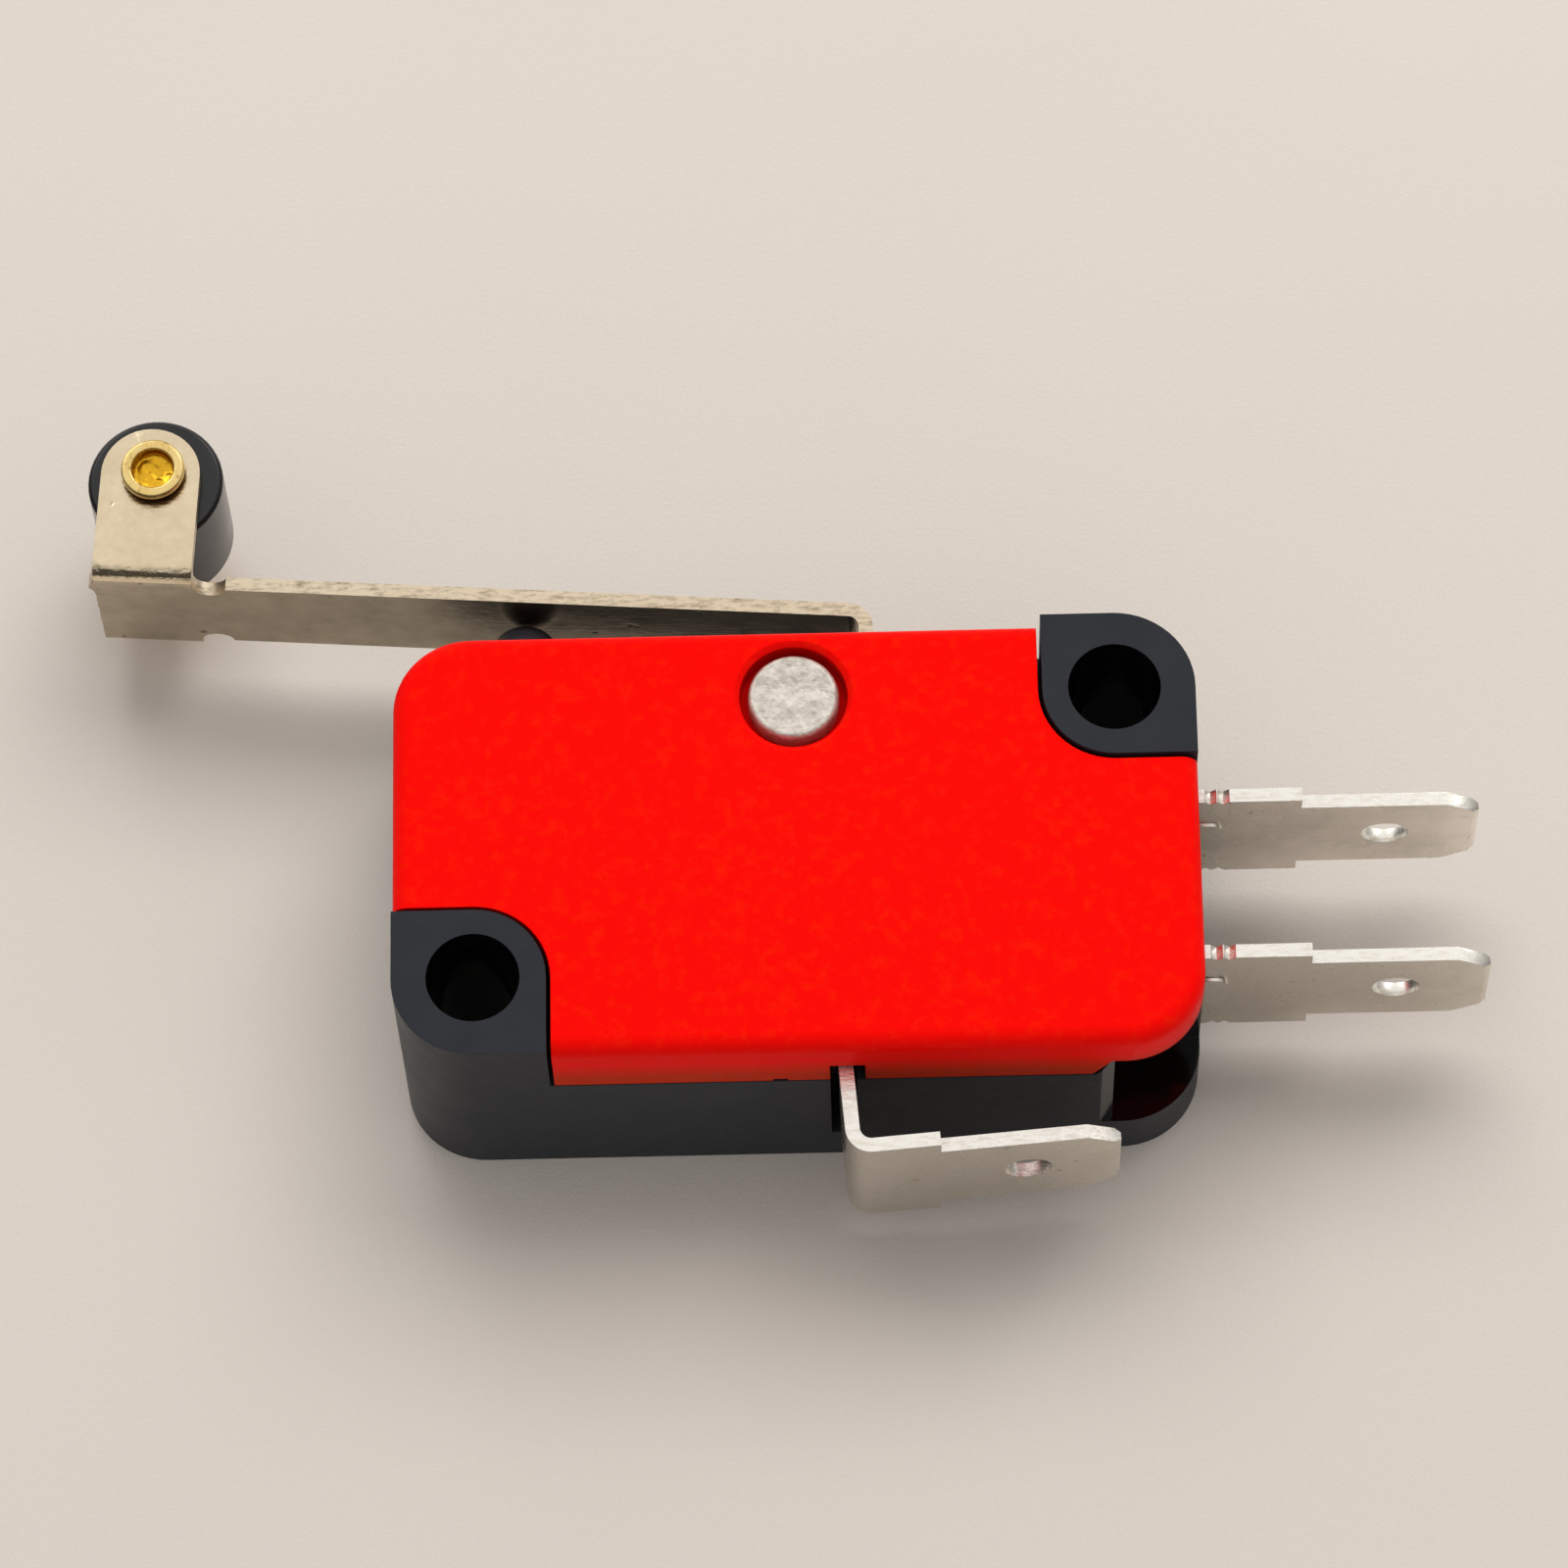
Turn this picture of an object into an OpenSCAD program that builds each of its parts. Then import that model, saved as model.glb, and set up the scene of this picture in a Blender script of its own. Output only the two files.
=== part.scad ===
// Lever micro switch with a roller on a long hinged lever.
// Frame: origin on the axis of the front mounting hole, at the back face; X runs along the body
// towards the end terminals, Y across it towards the lever, Z through its thickness to the cover.

/* [Housing] */
// Distance between the mounting holes along the body
hole_dx = 22.2; // [22:0.1:24]
// Distance between the mounting holes across the body
hole_dy = 10.3; // [10.2:0.1:11]
// Diameter of the mounting holes
hole_d = 3.2; // [3:0.05:3.4]
// From the axis of a mounting hole to the nearest outer faces
edge = 2.8; // [2.7:0.05:3.2]
// Thickness of the switch over its mounting ears
body_t = 10.3; // [10.2:0.1:11]
// Step from the wall under the lever up to the ear beside it
ear_step = 0.25; // [0.1:0.05:0.4]
// Reach of an ear inwards from the axis of its hole
ear_in = 2.5; // [2.3:0.05:2.6]
// Radius of the one corner that has neither ear nor pocket
corner_r = 2.7; // [2:0.1:3]
// Thickness of the back wall of the case
floor_t = 1.6; // [1.2:0.1:1.8]
// Thickness of the side walls of the case
wall_t = 1.25; // [1:0.05:1.4]
// Height of the chamber above the front mounting hole
roof_y = 8; // [7.9:0.1:8.4]
// Length of the solid end that grips the two end terminals
grip_l = 3.8; // [3.4:0.1:4.2]

/* [Corner pocket] */
// Length of the open pocket along the body
pocket_l = 3.15; // [2.8:0.05:3.5]
// Depth of the pocket across the body
pocket_d = 3.1; // [2.6:0.1:3.2]
// Radius in the inner corner of the pocket
pocket_r = 0.8; // [0.4:0.1:1.4]
// Thickness of the ledge that closes the pocket at the back
ledge_t = 2.5; // [1.8:0.1:3.5]
// Length of the bevel where the front wall meets the pocket
bevel_l = 0.45; // [0.2:0.05:0.8]
// Depth of that bevel
bevel_d = 0.25; // [0.1:0.05:0.5]

/* [Cover] */
// Thickness of the cover's plate
cover_t = 1.95; // [1.6:0.05:2]
// How far the ears stand above the cover
ear_proud = 0.1; // [0.05:0.05:0.2]
// Height of the skirt below the plate
skirt_h = 1.15; // [0.8:0.05:1.4]
// Thickness of the skirt
skirt_t = 0.8; // [0.6:0.05:0.9]
// How far the cover lies inside the outline of the case
cover_inset = 0.02; // [0.02:0.02:0.1]
// Radius of the cover's rounded top edge
cover_round = 0.6; // [0.3:0.05:0.8]
// Gap between the cover and an ear
ear_gap = 0.14; // [0.08:0.02:0.2]
// Length of the slanted end of the front skirt
slant_l = 0.65; // [0.3:0.05:0.8]
// Diameter of the rivet that holds the cover on
rivet_d = 2.4; // [2:0.1:2.6]
// Diameter of the rivet's heads
rivet_head_d = 3.15; // [2.9:0.05:3.4]
// Diameter of the round recesses that the heads lie in
recess_d = 3.75; // [3.5:0.05:4]
// Depth of those recesses
recess_h = 0.95; // [0.7:0.05:1.1]
// Bevel round the mouth of the recess in the cover
recess_bevel = 0.2; // [0.1:0.05:0.3]

/* [Lever] */
// Thickness of the lever's sheet
lever_t = 0.5; // [0.4:0.05:0.6]
// Width of the lever
lever_w = 4.3; // [4:0.1:4.6]
// Place of the lever's hinge along the body
hinge_x = 13.5; // [13.2:0.1:15]
// Depth of the hinge below the wall under the lever
hinge_in = 0.95; // [0.8:0.05:1.1]
// Height of the lever's outer face above its hinge
lever_rise = 3.12; // [2.8:0.02:3.4]
// Distance from the hinge to the roller's axis, along the lever
roller_arm = 25.4; // [20:0.1:28]
// Height of the roller's axis above the lever's outer face
roller_rise = 3.52; // [3.1:0.02:3.8]
// Angle that the lever stands up at rest
rest_angle = 4; // [3:0.25:5]
// Inner radius of the bend from the lever to its leg
lever_bend_r = 0.4; // [0.2:0.05:0.6]
// Radius of the hinge lugs
lug_r = 0.35; // [0.3:0.01:0.38]
// Reach of the hinge lugs from the middle of the body
lug_reach = 3.8; // [3.4:0.05:3.95]

/* [Roller] */
// Diameter of the roller
roller_d = 4.8; // [4:0.1:5]
// Length of the roller
roller_l = 4.8; // [4.4:0.1:5]
// Chamfer on the roller's edges
roller_chamfer = 0.15; // [0.05:0.05:0.3]
// Diameter of the roller's axle
axle_d = 1.8; // [1.5:0.1:1.9]
// Width of the ears of the yoke
yoke_ear_w = 3.5; // [3:0.1:4]
// How far the middle of the yoke lies beyond the axle, along the lever
yoke_shift = 0.12; // [0:0.02:0.2]
// Inner radius of the bend at the root of an ear
yoke_bend_r = 0.25; // [0.15:0.05:0.3]
// Radius of the relief notches beside the yoke
notch_r = 0.58; // [0.3:0.02:0.6]
// Diameter of the axle's flared end
flare_d = 2.26; // [2.1:0.02:2.5]
// Height of the flared end
flare_h = 0.3; // [0.2:0.05:0.4]
// Height of the neck between the flared end and the ear
flare_neck = 0.22; // [0.1:0.02:0.3]
// Diameter of the axle's flat head
axle_head_d = 2.6; // [2.2:0.1:3]
// Height of the axle's flat head
axle_head_h = 0.45; // [0.3:0.05:0.6]
// Diameter of the hollow in the flared end
hollow_d = 1.45; // [1:0.05:1.5]
// Depth of that hollow
hollow_h = 0.55; // [0.4:0.05:0.9]

/* [Plunger] */
// Place of the plunger along the body
plunger_x = 1.6; // [1.5:0.1:2]
// Diameter of the plunger
plunger_d = 2.55; // [2.2:0.05:2.7]
// Diameter of the collar that keeps the plunger in the case
collar_d = 3.8; // [3.2:0.1:4.2]
// Thickness of that collar
collar_t = 0.8; // [0.5:0.05:1]
// Radius of the plunger's nose
nose_r = 0.6; // [0.4:0.05:0.8]

/* [Terminals] */
// Thickness of the terminals
term_t = 0.5; // [0.4:0.05:0.6]
// Width of the wide part of a terminal
root_w = 6.1; // [5.6:0.1:6.2]
// Width of a tab
tab_w = 4.75; // [4.5:0.05:5]
// Length of a tab
tab_l = 6.2; // [5.8:0.1:7]
// Length of the tapered tip of a tab
tip_l = 1.15; // [0.8:0.05:1.5]
// How far each side of the tip tapers in
tip_in = 0.75; // [0.5:0.05:1]
// Diameter of the hole in a tab
tab_hole_d = 1.65; // [1.4:0.05:1.8]
// Distance from the tip to the hole
tab_hole_back = 3.2; // [2.8:0.1:3.6]
// Length of the wide part outside the case
root_out = 3.75; // [3:0.05:5]
// Height of the normally closed terminal above the front mounting hole
nc_y = 7; // [6.9:0.05:7.2]
// How much deeper the normally closed terminal sits than the normally open one
nc_in = 0.12; // [0:0.02:0.2]
// Height of the normally open terminal above the front mounting hole
no_y = 1.2; // [1.15:0.05:1.3]
// Place along the body where the common terminal leaves the case
com_x = 12.65; // [12.2:0.05:13.5]
// Distance from the case to the middle of the common tab
com_drop = 2.86; // [2.2:0.02:3.5]
// Angle that the common terminal is bent out of square
com_tilt = 4.5; // [0:0.5:6]
// Length from the common terminal's leg to its tab
com_root = 2.95; // [2:0.05:4]
// Inner radius of the common terminal's bends
com_bend_r = 0.4; // [0.3:0.05:0.5]
// Length of the raised lock that stops an end terminal from being pushed in
lock_l = 0.85; // [0.6:0.05:1.2]
// Width of that lock
lock_w = 2.4; // [1.6:0.1:3]
// Height of that lock above the face of the terminal
lock_h = 0.12; // [0.06:0.02:0.2]

/* [Contacts] */
// Distance from the end of the body to the contacts
contact_in = 5.7; // [5.5:0.1:6.4]
// Height of the fixed contacts above their terminals
fixed_h = 1.2; // [1:0.05:1.3]
// Diameter of the fixed contacts
fixed_d = 3; // [2.4:0.1:3.4]
// Diameter of the moving contact
moving_d = 2.6; // [2.2:0.1:3]
// Height of each face of the moving contact above the arm
moving_h = 0.8; // [0.7:0.05:0.9]
// Diameter of the contacts' shanks
shank_d = 1.5; // [1.2:0.1:1.7]

/* [Snap mechanism] */
// Thickness of the contact arm
arm_t = 0.3; // [0.2:0.02:0.34]
// Width of the contact arm
arm_w = 4.2; // [3.8:0.1:4.3]
// Distance from the plunger to the pivot of the contact arm
arm_pivot_dx = 4.1; // [4:0.05:4.4]
// Width of the window in the contact arm
window_w = 2.8; // [2.6:0.1:3]
// Distance from the arm's pivot to the spring's seat on it
spring_seat = 8.8; // [8.4:0.1:9.4]
// Thickness of the rocker
rocker_t = 0.4; // [0.3:0.02:0.44]
// Distance from the plunger to the pivot of the rocker
rocker_arm = 8.8; // [8.6:0.1:9]
// Height of the rocker's pivot above the front mounting hole
rocker_pivot_y = 1.6; // [1.5:0.05:1.7]
// Distance from the rocker's pivot to the spring's seat on it
rocker_seat = 7.27; // [7.2:0.02:7.3]
// Angle of the rocker's rails at rest
rocker_angle = 24.8; // [24.4:0.1:25.2]
// Mean diameter of the spring's coils
coil_d = 1.9; // [1.6:0.1:2]
// Diameter of the spring's wire
wire_d = 0.3; // [0.24:0.02:0.32]
// Number of coils
coils = 12; // [8:1:14]
// Mean radius of the spring's end loops
loop_r = 0.65; // [0.62:0.01:0.68]

/* [Hidden] */
$fn = 64;
eps = 0.01;

// Clearances: what turns or slides, what is dropped into a slot, what only touches
run_gap = 0.06;
slot_gap = 0.04;
touch_gap = 0.06;

// Outline of the body
x_left = -edge;
x_right = hole_dx + edge;
y_front = -edge;
y_ear = hole_dy + edge;
y_back = y_ear - ear_step;
mid_z = body_t / 2;

// Heights of the joint between case and cover
cover_top = body_t - ear_proud;
plate_z = cover_top - cover_t;
shoulder_z = plate_z - skirt_h;
register_gap = 0.1;
register_z = plate_z - register_gap;
register_in = cover_inset + skirt_t + register_gap;
room_gap = 0.05;
pocket_x = x_right - pocket_l;
pocket_y = y_front + pocket_d;
grip_x = x_right - grip_l;
rivet_x = hole_dx / 2;
rivet_y = hole_dy;

// Lever
hinge_y = y_back - hinge_in;
yoke_gap = 0.075;
yoke_in = roller_l / 2 + yoke_gap;
yoke_out = yoke_in + lever_t;
roller_h = lever_rise + roller_rise;
yoke_x = -roller_arm - yoke_shift;
slot_half = lever_t / 2 + 0.2;

// Plunger: its dome meets the lever's inner face, its nose meets the rocker's tongue
plunger_r = plunger_d / 2;
lever_inner_y = hinge_y + (hinge_x - plunger_x) * tan(rest_angle)
    + (lever_rise - lever_t) / cos(rest_angle);
dome_y = lever_inner_y - (plunger_r + touch_gap) / cos(rest_angle);

// Snap mechanism
arm_pivot = [plunger_x + arm_pivot_dx, (nc_y + no_y) / 2];
contact_x = x_right - contact_in;
arm_reach = contact_x - arm_pivot[0];
nc_face_y = nc_y - term_t / 2 - fixed_h;
arm_rest_y = nc_face_y - touch_gap - moving_h - arm_t / 2;
arm_angle = asin((arm_rest_y - arm_pivot[1]) / arm_reach);
arm_bead_r = 0.23;
rocker_pivot = [plunger_x + rocker_arm, rocker_pivot_y];
rocker_bead_r = 0.28;
rail_w = 0.5;
rail_out = arm_w / 2 + rail_w + 0.25;
room_half = max(root_w / 2, rail_out) + room_gap;
room_z = min(floor_t, mid_z - room_half);
cross_half = 1.17;
tongue_root = rocker_seat + 0.93;
tongue_y = rocker_pivot[1] + tongue_root * sin(rocker_angle);
tongue_end_x = plunger_x - 0.8;
tongue_w = 3;
nose_y = tongue_y + rocker_t / 2 + touch_gap + nose_r;
collar_y = roof_y - touch_gap;
seat_a = rocker_pivot + rocker_seat * [-cos(rocker_angle), sin(rocker_angle)];
seat_b = arm_pivot + spring_seat * [cos(arm_angle), sin(arm_angle)];
spring_l = norm(seat_b - seat_a);
spring_turn = atan2(seat_b[1] - seat_a[1], seat_b[0] - seat_a[0]);

// Common terminal inside the case
com_floor_y = y_front + wall_t + 0.05 + term_t / 2;
com_turn_r = com_bend_r + term_t / 2;
post_x = arm_pivot[0] - term_t / 2;
fork_w = 1.9;
fork_below = 1.7;
fork_above = 0.75;
cheek_out = rail_out + 0.1;
cheek_l = 1.6;

// ---- Shared shapes ----

// What is cut from a square corner at x, y to round it; sx and sy point into the plan
module corner_waste(x, y, r, sx, sy) {
    translate([x, y])
        mirror([sx < 0 ? 1 : 0, 0])
            mirror([0, sy < 0 ? 1 : 0])
                difference() {
                    translate([-1, -1]) square(r + 1);
                    translate([r, r]) circle(r);
                }
}

// Plan of the body, drawn in by inset on every side
module body_plan(inset) {
    difference() {
        translate([x_left + inset, y_front + inset])
            square([x_right - x_left - 2 * inset, y_back - y_front - 2 * inset]);
        corner_waste(x_left + inset, y_front + inset, edge - inset, 1, 1);
        corner_waste(x_right - inset, y_front + inset, edge - inset, -1, 1);
        corner_waste(x_right - inset, y_back - inset, edge - ear_step - inset, -1, -1);
        corner_waste(x_left + inset, y_back - inset, max(corner_r - inset, 0.3), 1, -1);
    }
}

// Plan of an ear about its hole: rounded outside and inside, square where it meets the walls
module ear_plan(grow) {
    difference() {
        translate([-edge - grow, -edge - grow]) square(edge + ear_in + 2 * grow);
        corner_waste(-edge - grow, -edge - grow, edge + grow, 1, 1);
        corner_waste(ear_in + grow, ear_in + grow, ear_in + grow, -1, -1);
    }
}

// Profile of what is cut off to round an edge: the corner is at the origin, the solid right and below
module round_waste(r) {
    difference() {
        translate([-1, -r]) square(r + 1);
        translate([r, -r]) circle(r);
    }
}

// What rounding the cover's top edge takes off: its four sides, then its two full corners
module rim_waste() {
    r = cover_round;
    x0 = x_left + cover_inset;
    x1 = x_right - cover_inset;
    y0 = y_front + cover_inset;
    y1 = y_back - cover_inset;
    front_r = edge - cover_inset;
    back_r = corner_r - cover_inset;
    // each side as its start, its direction and its length
    for (side = [[[x0, y0], 0, x1 - x0 - front_r], [[x1, y0 + front_r], 90, y1 - y0 - front_r],
                 [[x1, y1], 180, x1 - x0 - back_r], [[x0, y1 - back_r], 270, y1 - y0 - back_r]])
        translate([side[0][0], side[0][1], cover_top])
            rotate([0, 0, side[1]])
                rotate([90, 0, 90])
                    linear_extrude(side[2]) round_waste(r);
    for (corner = [[[x1 - front_r, y0 + front_r], 270, front_r], [[x0 + back_r, y1 - back_r], 90, back_r]])
        translate([corner[0][0], corner[0][1], cover_top])
            rotate([0, 0, corner[1]])
                rotate_extrude(angle = 90)
                    translate([corner[2], 0]) mirror([1, 0]) round_waste(r);
}

// Both ears, the front one and the one turned half round at the far hole
module both_ears(grow) {
    ear_plan(grow);
    translate([hole_dx, hole_dy]) rotate(180) ear_plan(grow);
}

// Plan of the open corner pocket, running out past both faces
module pocket_plan() {
    difference() {
        translate([pocket_x, y_front - 1]) square([pocket_l + 1, pocket_d + 1]);
        corner_waste(pocket_x, pocket_y, pocket_r, 1, -1);
    }
    polygon([[pocket_x + eps, y_front - eps], [pocket_x - bevel_l, y_front - eps],
             [pocket_x + eps, y_front + bevel_d]]);
}

// Quarter turn of bent sheet about Z, of inner radius r, starting at angle a
module quarter_bend(r, t, w, a) {
    rotate([0, 0, a])
        intersection() {
            difference() {
                cylinder(h = w, r = r + t, center = true);
                cylinder(h = w + 1, r = r, center = true);
            }
            translate([0, 0, -w / 2]) cube([r + t, r + t, w]);
        }
}

// Flat of sheet from x0 to x1 and y0 to y1, w wide about the middle plane
module flat(x0, x1, y0, y1, w) {
    translate([x0, y0, -w / 2]) cube([x1 - x0, y1 - y0, w]);
}

// Rod along Y, from y0 to y1
module rod_y(y0, y1, r) {
    translate([0, y0, 0]) rotate([-90, 0, 0]) cylinder(h = y1 - y0, r = r);
}

// Tab with its wide root: the tab starts at x = 0 and runs to tab_l, the root runs back
module tab(root_l) {
    tip_flat = 0.5;
    tip_bevel = 0.13;
    difference() {
        union() {
            flat(-root_l, 0, -term_t / 2, term_t / 2, root_w);
            intersection() {
                rotate([90, 0, 0])
                    linear_extrude(term_t, center = true)
                        polygon([[-eps, -tab_w / 2], [tab_l - tip_l, -tab_w / 2],
                                 [tab_l, tip_in - tab_w / 2], [tab_l, tab_w / 2 - tip_in],
                                 [tab_l - tip_l, tab_w / 2], [-eps, tab_w / 2]]);
                linear_extrude(root_w, center = true)
                    polygon([[-1, -term_t], [-1, term_t], [tab_l - tip_flat - tip_bevel, term_t],
                             [tab_l, term_t / 2 - tip_bevel], [tab_l, tip_bevel - term_t / 2],
                             [tab_l - tip_flat - tip_bevel, -term_t]]);
            }
        }
        translate([tab_l - tab_hole_back, -term_t, 0]) rod_y(0, 2 * term_t, tab_hole_d / 2);
    }
}

// ---- Housing ----

module case_slots() {
    slot_half_t = term_t / 2 + slot_gap / 2;
    slot_z = mid_z - root_w / 2 - slot_gap;
    // end terminals
    for (y = [nc_y, no_y])
        translate([grip_x - eps, y - slot_half_t, slot_z])
            cube([grip_l + 2 * eps, 2 * slot_half_t, body_t]);
    // leg of the common terminal
    translate([com_x - 0.55, y_front - eps, slot_z])
        cube([0.55 + term_t / 2 + 0.1, wall_t + 2 * eps, body_t]);
    // leg of the lever, with a round seat for its lower lug
    translate([hinge_x, hinge_y, mid_z - lever_w / 2 - 0.15]) {
        cylinder(h = body_t, r = slot_half);
        translate([-slot_half, 0, 0]) cube([2 * slot_half, hinge_in + 1, body_t]);
    }
    translate([hinge_x, hinge_y, mid_z - lug_reach - 0.1]) cylinder(h = lug_reach, r = lug_r + run_gap);
}

module case() {
    color([0.16, 0.17, 0.19])
        difference() {
            union() {
                difference() {
                    union() {
                        linear_extrude(shoulder_z) body_plan(0);
                        linear_extrude(register_z) body_plan(register_in);
                        // wedge that fills the slanted end of the skirt
                        translate([0, y_front + skirt_t, 0])
                            rotate([90, 0, 0])
                                linear_extrude(skirt_t)
                                    polygon([[pocket_x - slant_l, shoulder_z - eps],
                                             [pocket_x, shoulder_z - eps], [pocket_x, register_z]]);
                    }
                    translate([x_left + wall_t, y_front + wall_t, room_z])
                        cube([grip_x - x_left - wall_t, roof_y - y_front - wall_t, body_t]);
                }
                linear_extrude(body_t) both_ears(0);
            }
            for (p = [[0, 0], [hole_dx, hole_dy]])
                translate([p[0], p[1], -1]) cylinder(h = body_t + 2, d = hole_d);
            translate([0, 0, ledge_t]) linear_extrude(body_t) pocket_plan();
            translate([plunger_x, 0, mid_z]) rod_y(roof_y - 1, y_back + 1, plunger_r + run_gap);
            translate([rivet_x, rivet_y, -1]) cylinder(h = body_t, d = rivet_d + 2 * slot_gap);
            translate([rivet_x, rivet_y, -1]) cylinder(h = recess_h + 1, d = recess_d);
            case_slots();
        }
}

module cover() {
    skirt_end = pocket_x - slant_l;
    color([0.9, 0.06, 0.02])
        difference() {
            union() {
                translate([0, 0, plate_z]) linear_extrude(cover_t) body_plan(cover_inset);
                translate([0, 0, shoulder_z])
                    linear_extrude(skirt_h + eps)
                        difference() {
                            body_plan(cover_inset);
                            body_plan(cover_inset + skirt_t);
                        }
            }
            translate([0, 0, -1]) linear_extrude(body_t + 2) both_ears(ear_gap);
            rim_waste();
            // room above the pieces in the chamber, and above the end terminals in their slots
            translate([x_left + wall_t, y_front + wall_t, 0])
                cube([grip_x - x_left - wall_t, roof_y - y_front - wall_t, mid_z + room_half]);
            for (y = [nc_y, no_y])
                translate([grip_x - 1, y - term_t / 2 - 0.08, 0])
                    cube([grip_l + 2, term_t + 0.16, mid_z + room_half]);
            // the skirt stops short of the pocket, with a slanted end in front
            translate([0, y_front + skirt_t + 0.5, 0])
                rotate([90, 0, 0])
                    linear_extrude(skirt_t + 1)
                        polygon([[skirt_end - 0.1, shoulder_z - 1], [skirt_end - 0.1, shoulder_z],
                                 [pocket_x - 0.1, plate_z], [x_right + 1, plate_z],
                                 [x_right + 1, shoulder_z - 1]]);
            translate([pocket_x, y_front + skirt_t, shoulder_z - 1])
                cube([pocket_l + 1, pocket_d - skirt_t, skirt_h + 1]);
            // notches in the skirt for the terminals and the lever's leg
            for (y = [nc_y, no_y])
                translate([x_right - skirt_t - 1, y - term_t / 2 - 0.08, shoulder_z - 1])
                    cube([skirt_t + 2, term_t + 0.16, skirt_h + 1]);
            translate([com_x - 0.55, y_front - 1, shoulder_z - 1])
                cube([1.2, wall_t + 1.5, mid_z + root_w / 2 + 0.17 - shoulder_z + 1]);
            translate([hinge_x - slot_half - 0.1, y_back - skirt_t - 0.5, shoulder_z - 1])
                cube([2 * slot_half + 0.2, skirt_t + 1, skirt_h + 1]);
            // small notch for prising the cover off
            translate([rivet_x - 0.95, y_front - 1, shoulder_z - 1]) cube([0.5, skirt_t + 1.5, 1.15]);
            // seat for the lever's upper lug
            translate([hinge_x, hinge_y, plate_z - 1])
                cylinder(h = mid_z + lug_reach + 0.1 - plate_z + 1, r = lug_r + run_gap);
            translate([rivet_x, rivet_y, 0]) {
                cylinder(h = body_t, d = rivet_d + 2 * slot_gap);
                translate([0, 0, cover_top - recess_h]) cylinder(h = body_t, d = recess_d);
                translate([0, 0, cover_top - recess_bevel])
                    cylinder(h = recess_bevel + eps, r1 = recess_d / 2, r2 = recess_d / 2 + recess_bevel + eps);
            }
        }
}

module cover_rivet() {
    head_h = recess_h - 0.08;
    edge_r = 0.15;
    color([0.8, 0.79, 0.77])
        translate([rivet_x, rivet_y, 0])
            rotate_extrude()
                polygon([[0, recess_h - head_h], [rivet_head_d / 2 - edge_r, recess_h - head_h],
                         [rivet_head_d / 2, recess_h - head_h + edge_r], [rivet_head_d / 2, recess_h],
                         [rivet_d / 2, recess_h], [rivet_d / 2, cover_top - recess_h],
                         [rivet_head_d / 2, cover_top - recess_h],
                         [rivet_head_d / 2, cover_top - recess_h + head_h - edge_r],
                         [rivet_head_d / 2 - edge_r, cover_top - recess_h + head_h],
                         [0, cover_top - recess_h + head_h]]);
}

// ---- Lever and roller ----

// Frame of the lever: origin at its hinge, X along the lever, turned to its rest angle
module at_lever() {
    translate([hinge_x, hinge_y, mid_z]) rotate([0, 0, -rest_angle]) children();
}

module yoke_side() {
    bend_z = yoke_out - lever_t - yoke_bend_r;
    // bend from the strip to the ear
    translate([yoke_x, lever_rise + yoke_bend_r, bend_z])
        rotate([0, 90, 0])
            quarter_bend(yoke_bend_r, lever_t, yoke_ear_w, 180);
    // ear with its round end
    difference() {
        translate([yoke_x, 0, yoke_in])
            union() {
                translate([-yoke_ear_w / 2, lever_rise + yoke_bend_r, 0])
                    cube([yoke_ear_w, roller_rise - yoke_bend_r, lever_t]);
                translate([0, roller_h, 0]) cylinder(h = lever_t, d = yoke_ear_w);
            }
        translate([-roller_arm, roller_h, 0]) cylinder(h = body_t, d = axle_d + slot_gap);
    }
}

module lever() {
    turn_r = lever_bend_r + lever_t;
    bend_x = lever_t / 2 - turn_r;
    bend_y = lever_rise - turn_r;
    yoke_base_w = 2 * (yoke_out - lever_t - yoke_bend_r);
    color([0.72, 0.69, 0.62])
        at_lever() {
            difference() {
                union() {
                    flat(-lever_t / 2, lever_t / 2, 0, bend_y, lever_w);
                    translate([bend_x, bend_y, 0]) quarter_bend(lever_bend_r, lever_t, lever_w, 0);
                    flat(yoke_x + yoke_ear_w / 2, bend_x, lever_rise - lever_t, lever_rise, lever_w);
                    flat(yoke_x - yoke_ear_w / 2, yoke_x + yoke_ear_w / 2,
                         lever_rise - lever_t, lever_rise, yoke_base_w);
                    // round lugs, coined on the end of the leg
                    intersection() {
                        cylinder(h = 2 * lug_reach, r = lug_r, center = true);
                        flat(-lever_t / 2, lever_t / 2, -1, 1, 2 * lug_reach);
                    }
                }
                for (s = [-1, 1])
                    translate([yoke_x + yoke_ear_w / 2 + notch_r, lever_rise - lever_t - 1, s * yoke_base_w / 2])
                        rod_y(0, lever_t + 2, notch_r);
            }
            yoke_side();
            mirror([0, 0, 1]) yoke_side();
        }
}

module roller() {
    r = roller_d / 2;
    h = roller_l / 2;
    bore = axle_d / 2 + run_gap;
    color([0.1, 0.1, 0.12])
        at_lever()
            translate([-roller_arm, roller_h, 0])
                rotate_extrude()
                    polygon([[bore, -h], [r - roller_chamfer, -h], [r, roller_chamfer - h],
                             [r, h - roller_chamfer], [r - roller_chamfer, h], [bore, h]]);
}

module roller_axle() {
    top = yoke_out + flare_neck + flare_h;
    round_in = 0.1;
    color([0.83, 0.62, 0.15])
        at_lever()
            translate([-roller_arm, roller_h, 0])
                rotate_extrude()
                    polygon([[0, -yoke_out - axle_head_h],
                             [axle_head_d / 2 - round_in, -yoke_out - axle_head_h],
                             [axle_head_d / 2, -yoke_out - axle_head_h + round_in],
                             [axle_head_d / 2, -yoke_out], [axle_d / 2, -yoke_out],
                             [axle_d / 2, yoke_out + flare_neck], [flare_d / 2, yoke_out + flare_neck],
                             [flare_d / 2, top - round_in], [flare_d / 2 - round_in, top],
                             [hollow_d / 2 + round_in / 2, top], [hollow_d / 2, top - round_in],
                             [hollow_d / 2, top - hollow_h], [0, top - hollow_h - 0.15]]);
}

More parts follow.
